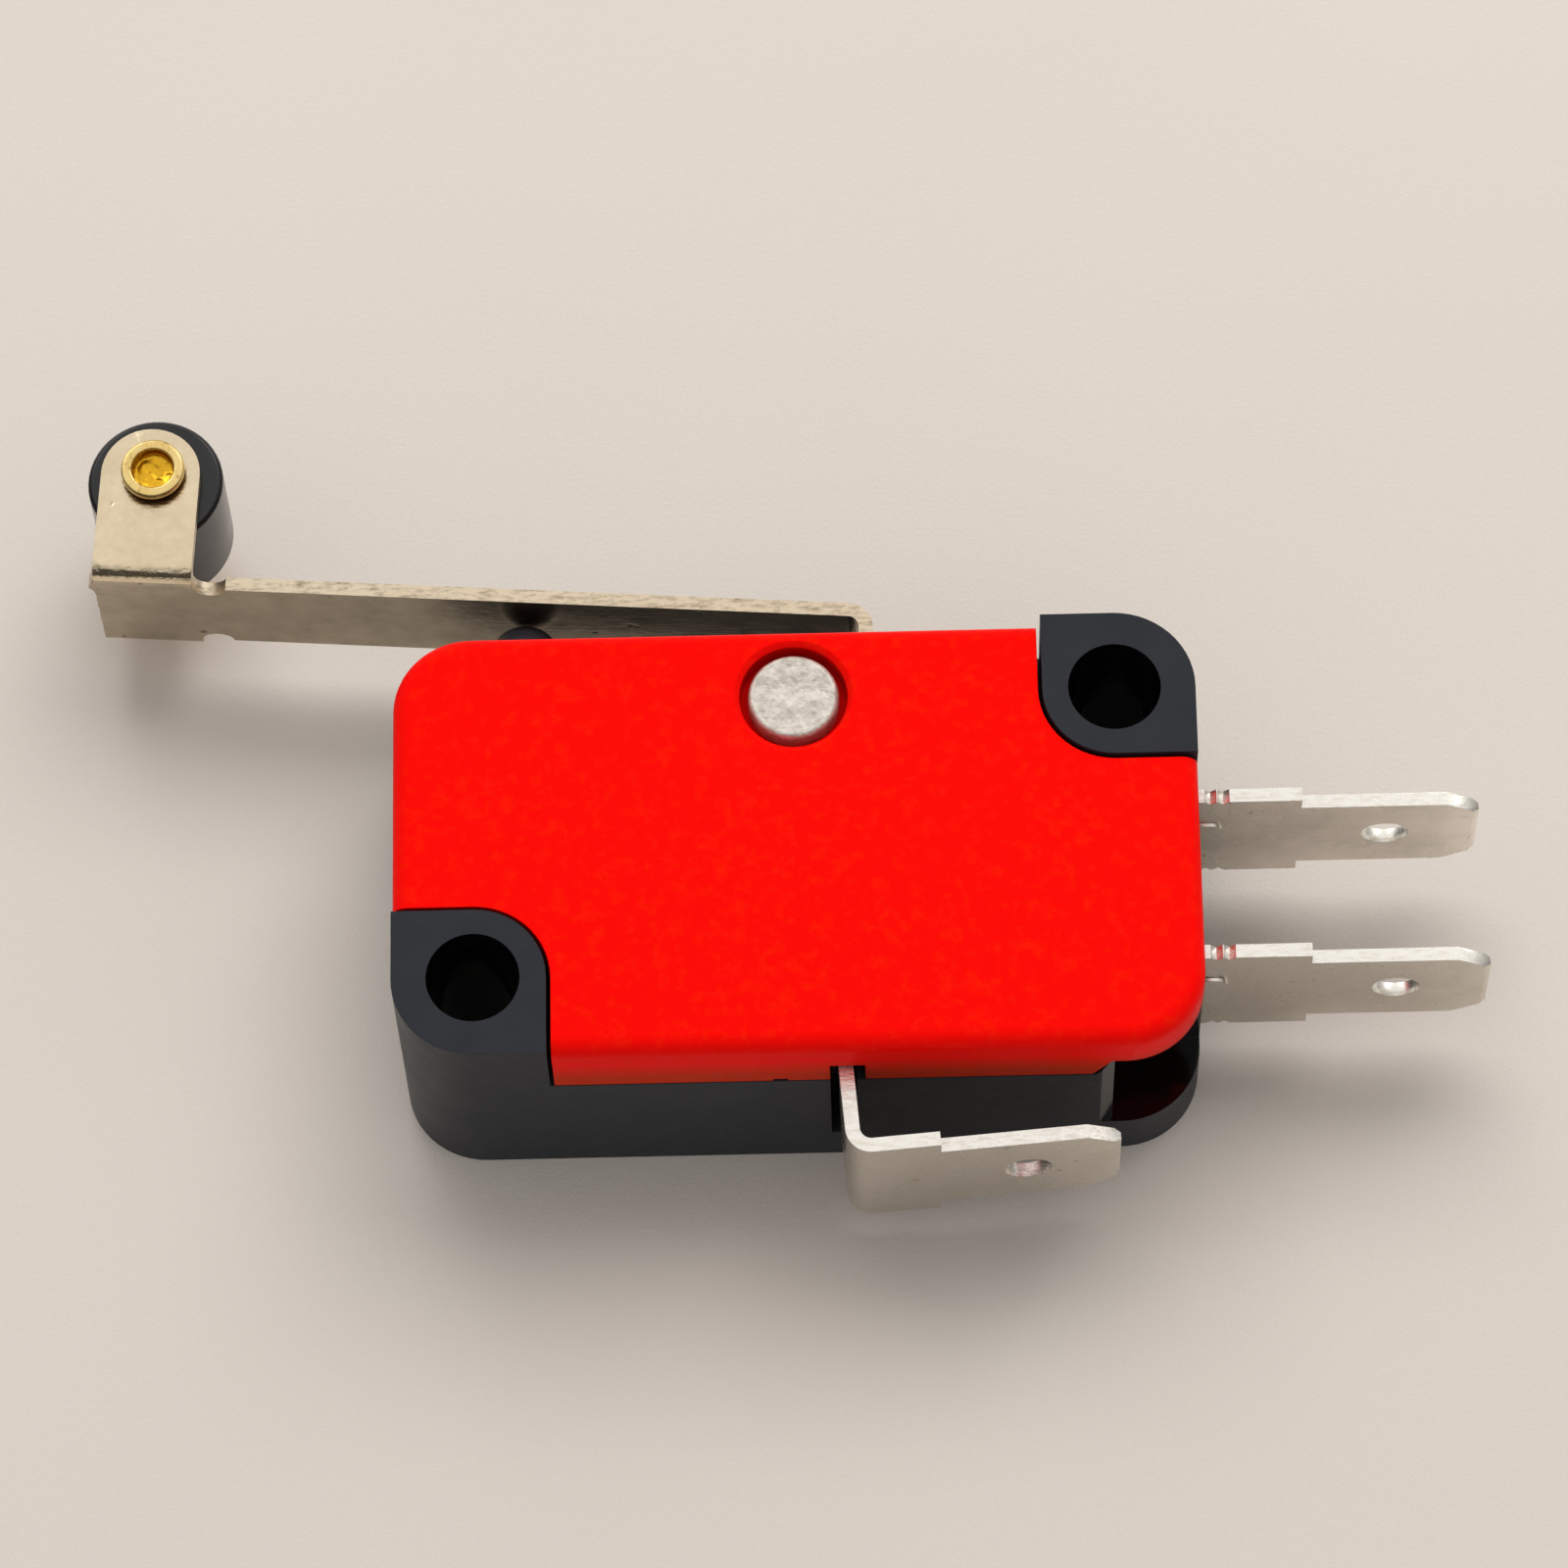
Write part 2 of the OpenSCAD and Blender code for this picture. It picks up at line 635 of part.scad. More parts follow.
module plunger() {
    color([0.2, 0.21, 0.24])
        translate([plunger_x, 0, mid_z]) {
            translate([0, dome_y, 0]) sphere(plunger_r);
            rod_y(collar_y - eps, dome_y, plunger_r);
            rod_y(collar_y - collar_t, collar_y, collar_d / 2);
            rod_y(nose_y, collar_y - collar_t + eps, nose_r);
            translate([0, nose_y, 0]) sphere(nose_r);
        }
}

// ---- Terminals ----

// Straight end terminal in its slot, pushed in by the given length
module end_terminal(y, in) {
    inner_x = contact_x - fixed_d / 2 - 0.4;
    tab_x = x_right + root_out - in;
    nick = 0.3;
    color([0.78, 0.77, 0.73])
        translate([0, y, mid_z])
            difference() {
                union() {
                    translate([tab_x, 0, 0]) tab(tab_x - inner_x);
                    // half-sheared lock just outside the case
                    translate([x_right + touch_gap, 0, -lock_w / 2])
                        rotate([90, 0, 0])
                            linear_extrude(term_t / 2 + lock_h)
                                difference() {
                                    square([lock_l, lock_w]);
                                    corner_waste(lock_l, 0, lock_l / 2, -1, 1);
                                    corner_waste(lock_l, lock_w, lock_l / 2, -1, -1);
                                }
                }
                translate([contact_x, -term_t, 0]) rod_y(0, 2 * term_t, shank_d / 2 + slot_gap / 2);
                // staking nicks in both edges
                for (s = [-1, 1], x = [1.5 * nick, 3 * nick])
                    translate([x_right + x, 0, s * root_w / 2])
                        rotate([0, 45, 0]) cube([nick, 2 * term_t, nick], center = true);
            }
}

module nc_terminal() { end_terminal(nc_y, nc_in); }

module no_terminal() { end_terminal(no_y, 0); }

module com_terminal() {
    left_bend_x = post_x + com_turn_r;
    leg_bend_y = com_floor_y - com_turn_r;
    color([0.78, 0.77, 0.73])
        translate([0, 0, mid_z]) {
            // bent part outside the case
            translate([com_x, y_front, 0])
                rotate([0, 0, com_tilt]) {
                    flat(-term_t / 2, term_t / 2, com_turn_r - com_drop, 0.1, root_w);
                    translate([com_turn_r, com_turn_r - com_drop, 0])
                        quarter_bend(com_bend_r, term_t, root_w, 180);
                    translate([com_root, -com_drop, 0]) tab(com_root - com_turn_r);
                }
            // leg through the wall and the floor plate
            flat(com_x - term_t / 2, com_x + term_t / 2, y_front, leg_bend_y, root_w);
            translate([com_x - com_turn_r, leg_bend_y, 0]) quarter_bend(com_bend_r, term_t, root_w, 0);
            difference() {
                flat(left_bend_x, com_x - com_turn_r, com_floor_y - term_t / 2, com_floor_y + term_t / 2, root_w);
                // the plate narrows towards the post
                for (s = [-1, 1])
                    translate([left_bend_x - 1, com_floor_y - 1, s > 0 ? arm_w / 2 : -root_w])
                        cube([rocker_pivot[0] - left_bend_x + 0.2, 2, root_w - arm_w / 2]);
            }
            // forked post that carries the contact arm
            translate([left_bend_x, com_floor_y + com_turn_r, 0])
                quarter_bend(com_bend_r, term_t, arm_w, 180);
            difference() {
                flat(post_x - term_t / 2, post_x + term_t / 2, com_floor_y + com_turn_r,
                     arm_pivot[1] + fork_above, arm_w);
                flat(post_x - term_t, post_x + term_t, arm_pivot[1] - fork_below,
                     arm_pivot[1] + 2 * fork_above, fork_w);
                translate([arm_pivot[0], arm_pivot[1], 0])
                    cylinder(h = root_w, r = arm_bead_r + run_gap, center = true);
            }
            // cheeks that carry the rocker
            for (s = [-1, 1])
                translate([rocker_pivot[0], 0, s * (cheek_out - term_t / 2)])
                    difference() {
                        flat(0, cheek_l, com_floor_y, rocker_pivot[1] + 0.8, term_t);
                        translate([0, rocker_pivot[1], 0])
                            cylinder(h = root_w, r = rocker_bead_r + run_gap, center = true);
                    }
        }
}

// ---- Contacts ----

// Contact rivet along Y: head on the side s, shank through grip, tail on the other side
module contact_rivet(s, head_d, head_h, grip, tail_d, tail_h) {
    bevel = 0.15;
    rotate([0, 0, s > 0 ? 0 : 180])
        rotate([-90, 0, 0])
            rotate_extrude()
                polygon([[0, -grip - tail_h], [tail_d / 2 - bevel, -grip - tail_h],
                         [tail_d / 2, -grip - tail_h + bevel], [tail_d / 2, -grip],
                         [shank_d / 2, -grip], [shank_d / 2, 0], [head_d / 2, 0],
                         [head_d / 2, head_h - bevel], [head_d / 2 - 2 * bevel, head_h], [0, head_h]]);
}

module fixed_contact(y, s) {
    color([0.86, 0.86, 0.84])
        translate([contact_x, y + s * term_t / 2, mid_z])
            contact_rivet(s, fixed_d, fixed_h, term_t, shank_d + 0.6, 0.25);
}

module nc_contact() { fixed_contact(nc_y, -1); }

module no_contact() { fixed_contact(no_y, 1); }

// ---- Snap mechanism ----

// Frame of the contact arm: origin at its pivot, X along the arm at rest
module at_arm() {
    translate([arm_pivot[0], arm_pivot[1], mid_z]) rotate([0, 0, arm_angle]) children();
}

module moving_contact() {
    color([0.86, 0.86, 0.84])
        at_arm()
            translate([arm_reach / cos(arm_angle), arm_t / 2, 0])
                contact_rivet(1, moving_d, moving_h, arm_t, moving_d, moving_h);
}

module contact_arm() {
    tip = arm_reach + moving_d / 2 + 0.2;
    loop_gap = loop_r - wire_d / 2 - 0.15;
    color([0.75, 0.47, 0.25])
        at_arm() {
            difference() {
                flat(0, tip, -arm_t / 2, arm_t / 2, arm_w);
                flat(-1, spring_seat - loop_gap, -1, 1, window_w);
                flat(spring_seat + loop_gap, spring_seat + loop_gap + 0.6, -1, 1, 0.6);
                translate([arm_reach / cos(arm_angle), -1, 0]) rod_y(0, 2, shank_d / 2 + slot_gap / 2);
            }
            // rolled feet that rock in the forked post
            for (s = [-1, 1])
                translate([0, 0, s * (arm_w + window_w) / 4])
                    cylinder(h = (arm_w - window_w) / 2, r = arm_bead_r, center = true);
        }
}

module rocker() {
    loop_gap = loop_r - wire_d / 2 - 0.13;
    color([0.62, 0.6, 0.57])
        translate([rocker_pivot[0], rocker_pivot[1], mid_z]) {
            rotate([0, 0, 180 - rocker_angle])
                difference() {
                    flat(0, tongue_root, -rocker_t / 2, rocker_t / 2, 2 * rail_out);
                    flat(-1, rocker_seat - cross_half, -1, 1, 2 * (rail_out - rail_w));
                    for (s = [-1, 1])
                        translate([rocker_seat + s * (loop_gap + 0.29), 0, 0])
                            flat(-0.29, 0.29, -1, 1, 0.6);
                }
            for (s = [-1, 1])
                translate([0, 0, s * (rail_out - rail_w / 2)])
                    cylinder(h = rail_w, r = rocker_bead_r, center = true);
            flat(tongue_end_x - rocker_pivot[0], -tongue_root * cos(rocker_angle) + 0.06,
                 tongue_y - rocker_pivot[1] - rocker_t / 2, tongue_y - rocker_pivot[1] + rocker_t / 2, tongue_w);
        }
}

// Points of the spring's wire, from the end loop at the origin along +X
function bezier(a, b, c, d, t) =
    pow(1 - t, 3) * a + 3 * pow(1 - t, 2) * t * b + 3 * (1 - t) * t * t * c + t * t * t * d;
coil_start = 2.3;
coil_steps = 14;
loop_points = [for (a = [30:20:330]) loop_r * [cos(a), sin(a), 0]];
lead_points = [for (i = [1:5]) bezier(loop_r * [cos(330), sin(330), 0],
    loop_r * [cos(330), sin(330), 0] + [0.3, 0.5, 0],
    [coil_start - 0.1, coil_d / 2, -0.5], [coil_start, coil_d / 2, 0], i / 6)];
head_points = concat(loop_points, lead_points);
coil_points = [for (i = [0:coils * coil_steps])
    [coil_start + (spring_l - 2 * coil_start) * i / (coils * coil_steps),
     coil_d / 2 * cos(360 * i / coil_steps), coil_d / 2 * sin(360 * i / coil_steps)]];
tail_points = [for (i = [len(head_points) - 1:-1:0])
    [spring_l - head_points[i][0], head_points[i][1], -head_points[i][2]]];
wire_points = concat(head_points, coil_points, tail_points);

function unit(v) = v / norm(v);
function tangent(p, i) = unit(p[min(i + 1, len(p) - 1)] - p[max(i - 1, 0)]);
function square_to(n, t) = unit(n - (n * t) * t);
function normals(p) = [for (i = 0, n = [0, 0, 1]; i < len(p);
    i = i + 1, n = i < len(p) ? square_to(n, tangent(p, i)) : n) n];

// Round wire swept along points p
module wire(p, d, sides) {
    n = normals(p);
    rings = [for (i = [0:len(p) - 1]) let (b = cross(tangent(p, i), n[i]))
        for (k = [0:sides - 1]) p[i] + d / 2 * (cos(360 * k / sides) * n[i] + sin(360 * k / sides) * b)];
    skin = [for (i = [0:len(p) - 2], k = [0:sides - 1])
        [i * sides + k, (i + 1) * sides + k, (i + 1) * sides + (k + 1) % sides, i * sides + (k + 1) % sides]];
    first = [for (k = [0:sides - 1]) k];
    last = [for (k = [sides - 1:-1:0]) (len(p) - 1) * sides + k];
    polyhedron(points = rings, faces = concat(skin, [first, last]), convexity = 10);
}

module snap_spring() {
    color([0.7, 0.7, 0.72])
        translate([seat_a[0], seat_a[1], mid_z])
            rotate([0, 0, spring_turn])
                wire(wire_points, wire_d, 6);
}

case();
cover();
cover_rivet();
lever();
roller();
roller_axle();
plunger();
com_terminal();
nc_terminal();
no_terminal();
nc_contact();
no_contact();
moving_contact();
contact_arm();
rocker();
snap_spring();
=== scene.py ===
"""Lever micro switch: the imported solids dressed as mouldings, plated strip and turned metal."""

import math

import bmesh
import bpy
from mathutils import Matrix, Vector, noise
from mathutils.bvhtree import BVHTree


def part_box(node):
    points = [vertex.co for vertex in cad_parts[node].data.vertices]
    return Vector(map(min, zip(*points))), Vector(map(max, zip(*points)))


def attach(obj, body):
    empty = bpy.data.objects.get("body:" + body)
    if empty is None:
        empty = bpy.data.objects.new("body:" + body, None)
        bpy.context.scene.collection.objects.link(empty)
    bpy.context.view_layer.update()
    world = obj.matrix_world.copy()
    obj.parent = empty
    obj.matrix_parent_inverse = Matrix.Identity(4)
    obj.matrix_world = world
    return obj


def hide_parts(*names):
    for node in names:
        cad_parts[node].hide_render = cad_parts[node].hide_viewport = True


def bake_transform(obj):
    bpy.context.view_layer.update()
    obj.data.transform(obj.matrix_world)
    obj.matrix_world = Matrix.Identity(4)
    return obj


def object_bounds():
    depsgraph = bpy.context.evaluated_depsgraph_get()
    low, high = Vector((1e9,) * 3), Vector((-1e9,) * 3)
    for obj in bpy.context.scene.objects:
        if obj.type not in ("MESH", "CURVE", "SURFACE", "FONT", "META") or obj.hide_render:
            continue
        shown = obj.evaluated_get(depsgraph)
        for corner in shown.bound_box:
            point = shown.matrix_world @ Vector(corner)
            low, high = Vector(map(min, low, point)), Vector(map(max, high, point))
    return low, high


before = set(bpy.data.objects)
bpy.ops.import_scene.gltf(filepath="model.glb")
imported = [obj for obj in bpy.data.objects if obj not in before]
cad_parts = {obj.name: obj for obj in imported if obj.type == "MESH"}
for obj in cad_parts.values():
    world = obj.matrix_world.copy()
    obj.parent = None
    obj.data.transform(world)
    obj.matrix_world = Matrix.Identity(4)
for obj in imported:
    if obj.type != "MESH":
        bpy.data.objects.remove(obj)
cad_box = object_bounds()

# ---- Camera ----
# A long lens looks down on the front of the switch, with the terminals on the right.
# The camera is turned a little about its own line of sight.
view_azimuth = math.radians(1.47)
view_elevation = math.radians(66.817)
view_roll = math.radians(-2.619)
view_distance = 0.27441
view_target = (0.010668, 0.009178, 0.005)
lens = 179.38

camera_data = bpy.data.cameras.new("camera")
camera_data.lens = lens
camera_data.clip_start = 0.01
camera = bpy.data.objects.new("camera", camera_data)
camera.matrix_world = (
    Matrix.Translation(view_target)
    @ Matrix.Rotation(view_azimuth, 4, "Z")
    @ Matrix.Rotation(math.pi / 2 - view_elevation, 4, "X")
    @ Matrix.Rotation(view_roll, 4, "Z")
    @ Matrix.Translation((0, 0, view_distance))
)
bpy.context.scene.collection.objects.link(camera)
bpy.context.scene.camera = camera
bpy.context.scene.view_settings.view_transform = "Standard"

# ---- Floor and light ----
# The switch lies on a plain painted board, with a fine orange-peel texture, in a pale room.
# One large soft lamp stands behind it. Shiny faces mirror a sky that is dark near the floor,
# with a bright window high on either side, and a floor that darkens away from the switch.
floor_size = 6.0
floor_tint = (0.735, 0.673, 0.622, 1)
floor_tint_low = (0.715, 0.653, 0.602, 1)
floor_cloud_size = 28
floor_peel_size = 7000
floor_peel_depth = 0.00002
room_tint = (0.79, 0.73, 0.67, 1)
sky_tint = (0.88, 0.85, 0.81, 1)
shade_tint = (0.055, 0.05, 0.047, 1)
sky_axis = (0.0, 0.5, 0.86)
sky_band = (0.15, 0.7)
window_axis = Vector((0.42, 0.72, 0.55)).normalized()
window_band = (0.955, 0.985)
window_glow = (2.6, 2.55, 2.45, 1)
bright_reach = 0.035
dark_reach = 0.09
fill_tint = (1.0, 0.985, 0.96, 1)
fill_strength = 0.52
lamp_tint = (1.0, 0.985, 0.955)
lamp_size = (0.46, 0.3)
lamp_power = 1.5
lamp_place = (0.06, 0.24, 0.40)


def node(tree, kind, inputs=None, **settings):
    """One shader node, with its settings, and its inputs set or linked by name or number."""
    made = tree.nodes.new("ShaderNode" + kind)
    for name, value in settings.items():
        setattr(made, name, value)
    for name, value in (inputs or {}).items():
        if isinstance(value, bpy.types.NodeSocket):
            tree.links.new(value, made.inputs[name])
        else:
            made.inputs[name].default_value = value
    return made


def new_tree(name):
    """An empty material and its node tree with an output node."""
    material = bpy.data.materials.new(name)
    material.use_nodes = True
    tree = material.node_tree
    tree.nodes.clear()
    return material, tree


def graded(tree, value, low, high, start=0.0, end=1.0):
    """Maps a mask that runs from start to end onto a number from low to high."""
    return node(tree, "MapRange", {0: value, 1: start, 2: end, 3: low, 4: high}).outputs[0]


def blended(tree, mask, first, second):
    """Goes from the first colour to the second by the mask."""
    return node(tree, "Mix", {0: mask, 6: first, 7: second}, data_type="RGBA").outputs[2]


def patches(tree, scale, detail=4, stretch=(1, 1, 1), rough=0.55):
    """A soft noise mask over the piece, drawn out along the axes as wanted."""
    place = node(tree, "TexCoord").outputs["Object"]
    if stretch != (1, 1, 1):
        place = node(tree, "Mapping", {"Vector": place, "Scale": stretch}).outputs[0]
    return node(
        tree, "TexNoise",
        {"Vector": place, "Scale": scale, "Detail": detail, "Roughness": rough},
    ).outputs["Fac"]


def reckoned(tree, operation, first, second):
    """The sum, product, difference or larger of two values."""
    return node(tree, "Math", {0: first, 1: second}, operation=operation).outputs[0]


def surface(tree, tint, roughness, height=None, depth=0.0, **constants):
    """The piece's shader, with bump in metres and constants set on the shader's own sockets."""
    shader = node(tree, "BsdfPrincipled", {"Base Color": tint, "Roughness": roughness})
    for name, value in constants.items():
        shader.inputs[name.replace("_", " ")].default_value = value
    if height is not None:
        bump = node(tree, "Bump", {"Height": height, "Distance": depth, "Strength": 1.0})
        tree.links.new(bump.outputs[0], shader.inputs["Normal"])
    node(tree, "OutputMaterial", {"Surface": shader.outputs[0]})


floor_bm = bmesh.new()
bmesh.ops.create_grid(floor_bm, x_segments=8, y_segments=8, size=floor_size / 2)
floor_mesh = bpy.data.meshes.new("floor")
floor_bm.to_mesh(floor_mesh)
floor_bm.free()
floor_mesh.transform(Matrix.Translation((0, 0, cad_box[0].z)))
floor = bpy.data.objects.new("floor", floor_mesh)
bpy.context.scene.collection.objects.link(floor)

floor_paint, tree = new_tree("floor paint")
paint = node(tree, "BsdfPrincipled", {
    "Base Color": blended(
        tree, graded(tree, patches(tree, floor_cloud_size, detail=2), 0, 1, 0.3, 0.7),
        floor_tint, floor_tint_low,
    ),
    "Roughness": 0.6,
    "Specular IOR Level": 0.35,
    "Normal": node(tree, "Bump", {
        "Height": patches(tree, floor_peel_size, detail=3), "Distance": floor_peel_depth,
    }).outputs[0],
})
away = node(tree, "VectorMath", {0: node(tree, "TexCoord").outputs["Object"], 1: view_target},
            operation="DISTANCE").outputs["Value"]
dark = reckoned(tree, "MULTIPLY", graded(tree, away, 0, 1, bright_reach, dark_reach),
                node(tree, "LightPath").outputs["Is Glossy Ray"])
shade = node(tree, "Emission", {"Color": shade_tint})
seen = node(tree, "MixShader", {0: dark, 1: paint.outputs[0], 2: shade.outputs[0]})
node(tree, "OutputMaterial", {"Surface": seen.outputs[0]})
floor_mesh.materials.append(floor_paint)

world = bpy.data.worlds.new("room")
world.use_nodes = True
tree = world.node_tree
tree.nodes.clear()
rays = node(tree, "LightPath")
mirrored = reckoned(tree, "MAXIMUM", rays.outputs["Is Glossy Ray"],
                    rays.outputs["Is Transmission Ray"])
way = node(tree, "TexCoord").outputs["Generated"]
toward_sky = node(tree, "VectorMath", {0: way, 1: sky_axis}, operation="DOT_PRODUCT")
height = graded(tree, toward_sky.outputs["Value"], 0, 1, *sky_band)
fill = node(tree, "Background", {"Color": fill_tint, "Strength": fill_strength})
room = node(tree, "Background", {"Color": room_tint, "Strength": 1.0})
ways = node(tree, "SeparateXYZ", {0: way})
sideways = node(tree, "Math", {0: ways.outputs["X"]}, operation="ABSOLUTE").outputs[0]
folded = node(tree, "CombineXYZ", {0: sideways, 1: ways.outputs["Y"], 2: ways.outputs["Z"]})
toward_window = node(tree, "VectorMath", {0: folded.outputs[0], 1: window_axis},
                     operation="DOT_PRODUCT")
glow = graded(tree, toward_window.outputs["Value"], 0, 1, *window_band)
sky = node(tree, "Background", {
    "Color": blended(tree, glow, blended(tree, height, shade_tint, sky_tint), window_glow),
})
lit = node(tree, "MixShader", {0: mirrored, 1: fill.outputs[0], 2: sky.outputs[0]})
both = node(tree, "MixShader", {0: rays.outputs["Is Camera Ray"], 1: lit.outputs[0],
                                2: room.outputs[0]})
node(tree, "OutputWorld", {"Surface": both.outputs[0]})
bpy.context.scene.world = world

lamp_data = bpy.data.lights.new("soft lamp", "AREA")
lamp_data.shape = "RECTANGLE"
lamp_data.size, lamp_data.size_y = lamp_size
lamp_data.energy = lamp_power
lamp_data.color = lamp_tint
lamp = bpy.data.objects.new("soft lamp", lamp_data)
lamp.matrix_world = (
    Matrix.Translation(lamp_place)
    @ (Vector(lamp_place) - Vector(view_target)).to_track_quat("Z", "Y").to_matrix().to_4x4()
)
lamp.visible_glossy = False
bpy.context.scene.collection.objects.link(lamp)

# ---- Case ----
# A compression moulding in dark phenolic. Its outside has a fine spark-eroded grain.
# The screw holes, the corner pocket and the room inside come off polished cores, and are tinted
# near black as painted shade.
case_edge = 0.00009
case_tint = (0.019, 0.0215, 0.0275, 1)
case_tint_worn = (0.024, 0.0265, 0.0325, 1)
# Painted shade: these near-black tints darken the screw holes, the corner pocket and the room
# inside.
case_core_shade_tint = (0.0015, 0.0015, 0.0018, 1)
case_core_shade_tint_pale = (0.003, 0.003, 0.0035, 1)
pocket_from = Vector((0.0212, -0.00282, 0.00238))
pocket_to = Vector((0.02502, 0.0006, 0.01022))
hole_axes = ((0.0, 0.0), (0.0222, 0.0103))
hole_reach = 0.00164
hole_steepest = 0.6
mottle_band = (0.35, 0.68)
rough_band = (0.3, 0.7)


def merged(node_name, sort_faces=None):
    """A copy of a solid, its faces sorted by finish and its flat faces made whole."""
    bm = bmesh.new()
    bm.from_mesh(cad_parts[node_name].data)
    bmesh.ops.remove_doubles(bm, verts=bm.verts, dist=1e-6)
    for face in bm.faces:
        face.material_index = 0
    if sort_faces:
        sort_faces(bm)
    bmesh.ops.dissolve_limit(
        bm, angle_limit=math.radians(0.5), verts=bm.verts, edges=bm.edges, delimit={"MATERIAL"}
    )
    return bm


def round_edges(bm, width, steps=2, sharper=28):
    """Rounds every edge that turns more than the angle given, as a tumbling drum does."""
    edges = [
        e for e in bm.edges
        if len(e.link_faces) == 2 and e.calc_face_angle(0) > math.radians(sharper)
    ]
    bmesh.ops.bevel(
        bm, geom=edges, offset=width, offset_type="OFFSET", affect="EDGES",
        segments=steps, profile=0.5, material=-1, clamp_overlap=True,
    )
    bmesh.ops.remove_doubles(bm, verts=bm.verts, dist=2e-7)
    bmesh.ops.dissolve_degenerate(bm, edges=bm.edges, dist=1e-7)


def piece(name, bm, body, finishes, instead):
    """Puts a mesh in the scene instead of the solids named, riding on its body if it has one."""
    for face in bm.faces:
        face.smooth = True
    for edge in bm.edges:
        edge.smooth = edge.calc_face_angle(0) < math.radians(40)
    mesh = bpy.data.meshes.new(name)
    bm.to_mesh(mesh)
    bm.free()
    made = bpy.data.objects.new(name, mesh)
    bpy.context.scene.collection.objects.link(made)
    for finish in finishes:
        mesh.materials.append(finish)
    weighted = made.modifiers.new("even shading", "WEIGHTED_NORMAL")
    weighted.keep_sharp = True
    weighted.weight = 90
    if body:
        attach(made, body)
    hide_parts(*instead)
    return made


def grain_group():
    """Spark-eroded mould grain: a height and a mask of broad flow mottling."""
    tree = bpy.data.node_groups.new("Mould Grain", "ShaderNodeTree")
    for label, usual in (("Grain Size", 5200.0), ("Mottle Size", 420.0)):
        socket = tree.interface.new_socket(label, in_out="INPUT", socket_type="NodeSocketFloat")
        socket.default_value = usual
    for label in ("Height", "Mottle"):
        tree.interface.new_socket(label, in_out="OUTPUT", socket_type="NodeSocketFloat")
    given = tree.nodes.new("NodeGroupInput")
    out = tree.nodes.new("NodeGroupOutput")
    place = node(tree, "TexCoord").outputs["Object"]
    grain = node(tree, "TexNoise", {"Vector": place, "Scale": given.outputs[0], "Detail": 3.0,
                                    "Roughness": 0.6})
    mottle = node(tree, "TexNoise", {"Vector": place, "Scale": given.outputs[1], "Detail": 5.0,
                                     "Roughness": 0.6})
    tree.links.new(grain.outputs["Fac"], out.inputs[0])
    tree.links.new(mottle.outputs["Fac"], out.inputs[1])
    return tree


mould_grain = grain_group()


def moulding(name, dark, pale, roughness, grain_size, mottle_size, depth, **constants):
    """A moulded plastic: two close tints mixed by flow mottling, with the mould's grain."""
    material, tree = new_tree(name)
    grain = node(tree, "Group", node_tree=mould_grain)
    grain.inputs[0].default_value = grain_size
    grain.inputs[1].default_value = mottle_size
    tint = blended(tree, graded(tree, grain.outputs["Mottle"], 0, 1, *mottle_band), dark, pale)
    rough = graded(tree, grain.outputs["Mottle"], roughness - 0.05, roughness + 0.06, *rough_band)
    surface(tree, tint, rough, grain.outputs["Height"], depth, **constants)
    return material


case_skin = moulding(
    "case grain", case_tint, case_tint_worn, roughness=0.42, grain_size=5200, mottle_size=500,
    depth=0.000014, Specular_IOR_Level=0.17,
)
case_core_shaded = moulding(
    "case polished shaded", case_core_shade_tint, case_core_shade_tint_pale, roughness=0.12, grain_size=1500,
    mottle_size=300, depth=0.000002, Specular_IOR_Level=0.5,
)


def from_core(face):
    """True where a polished core of the mould made the face."""
    c = face.calc_center_median()
    pocket_wall = all(pocket_from[i] < c[i] < pocket_to[i] for i in range(3))
    in_hole = any(
        math.hypot(c.x - x, c.y - y) < hole_reach and abs(face.normal.z) < hole_steepest
        for x, y in hole_axes
    )
    return pocket_wall or in_hole


bm = merged("case")
round_edges(bm, case_edge)
for face in bm.faces:
    face.material_index = 1 if from_core(face) else 0
piece("case_shell", bm, "housing", (case_skin, case_core_shaded), ("case",))

# ---- Cover ----
# The lid is a satin moulding in bright orange-red, pressed into the case and held by the rivet.
# Its colour shows faint flow mottling, and its long edges are softly rounded. Painted shade, with
# some dirt, darkens the recess round the rivet, and painted shading makes the lower sides darker
# and more orange.
cover_edge = 0.00006
# Painted shade and dirt: the recess round the rivet takes these darker reds.
recess_shade_tint = (0.52, 0.0012, 0.0003, 1)
recess_shade_tint_pale = (0.62, 0.003, 0.0004, 1)
recess_reach = 0.00192
recess_rim = 0.00016
rivet_axis = (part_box("cover_rivet")[0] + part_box("cover_rivet")[1]) / 2
cover_tint = (0.97, 0.0016, 0.0003, 1)
cover_tint_pale = (0.98, 0.010, 0.0006, 1)
# Painted shading: below the plate the cover's sides take this darker, more orange red.
cover_side_shading_tint = (0.56, 0.026, 0.002, 1)
cover_side_shading_band = (0.0089, 0.0077)
cover_grain_size = 3600
cover_mottle_size = 2300
cover_grain_depth = 0.000006
cover_specular = 0.05

cover_skin, tree = new_tree("cover satin")
grain = node(tree, "Group", node_tree=mould_grain)
grain.inputs[0].default_value = cover_grain_size
grain.inputs[1].default_value = cover_mottle_size
tint = blended(tree, graded(tree, grain.outputs["Mottle"], 0, 1, 0.5, 0.75), cover_tint,
               cover_tint_pale)
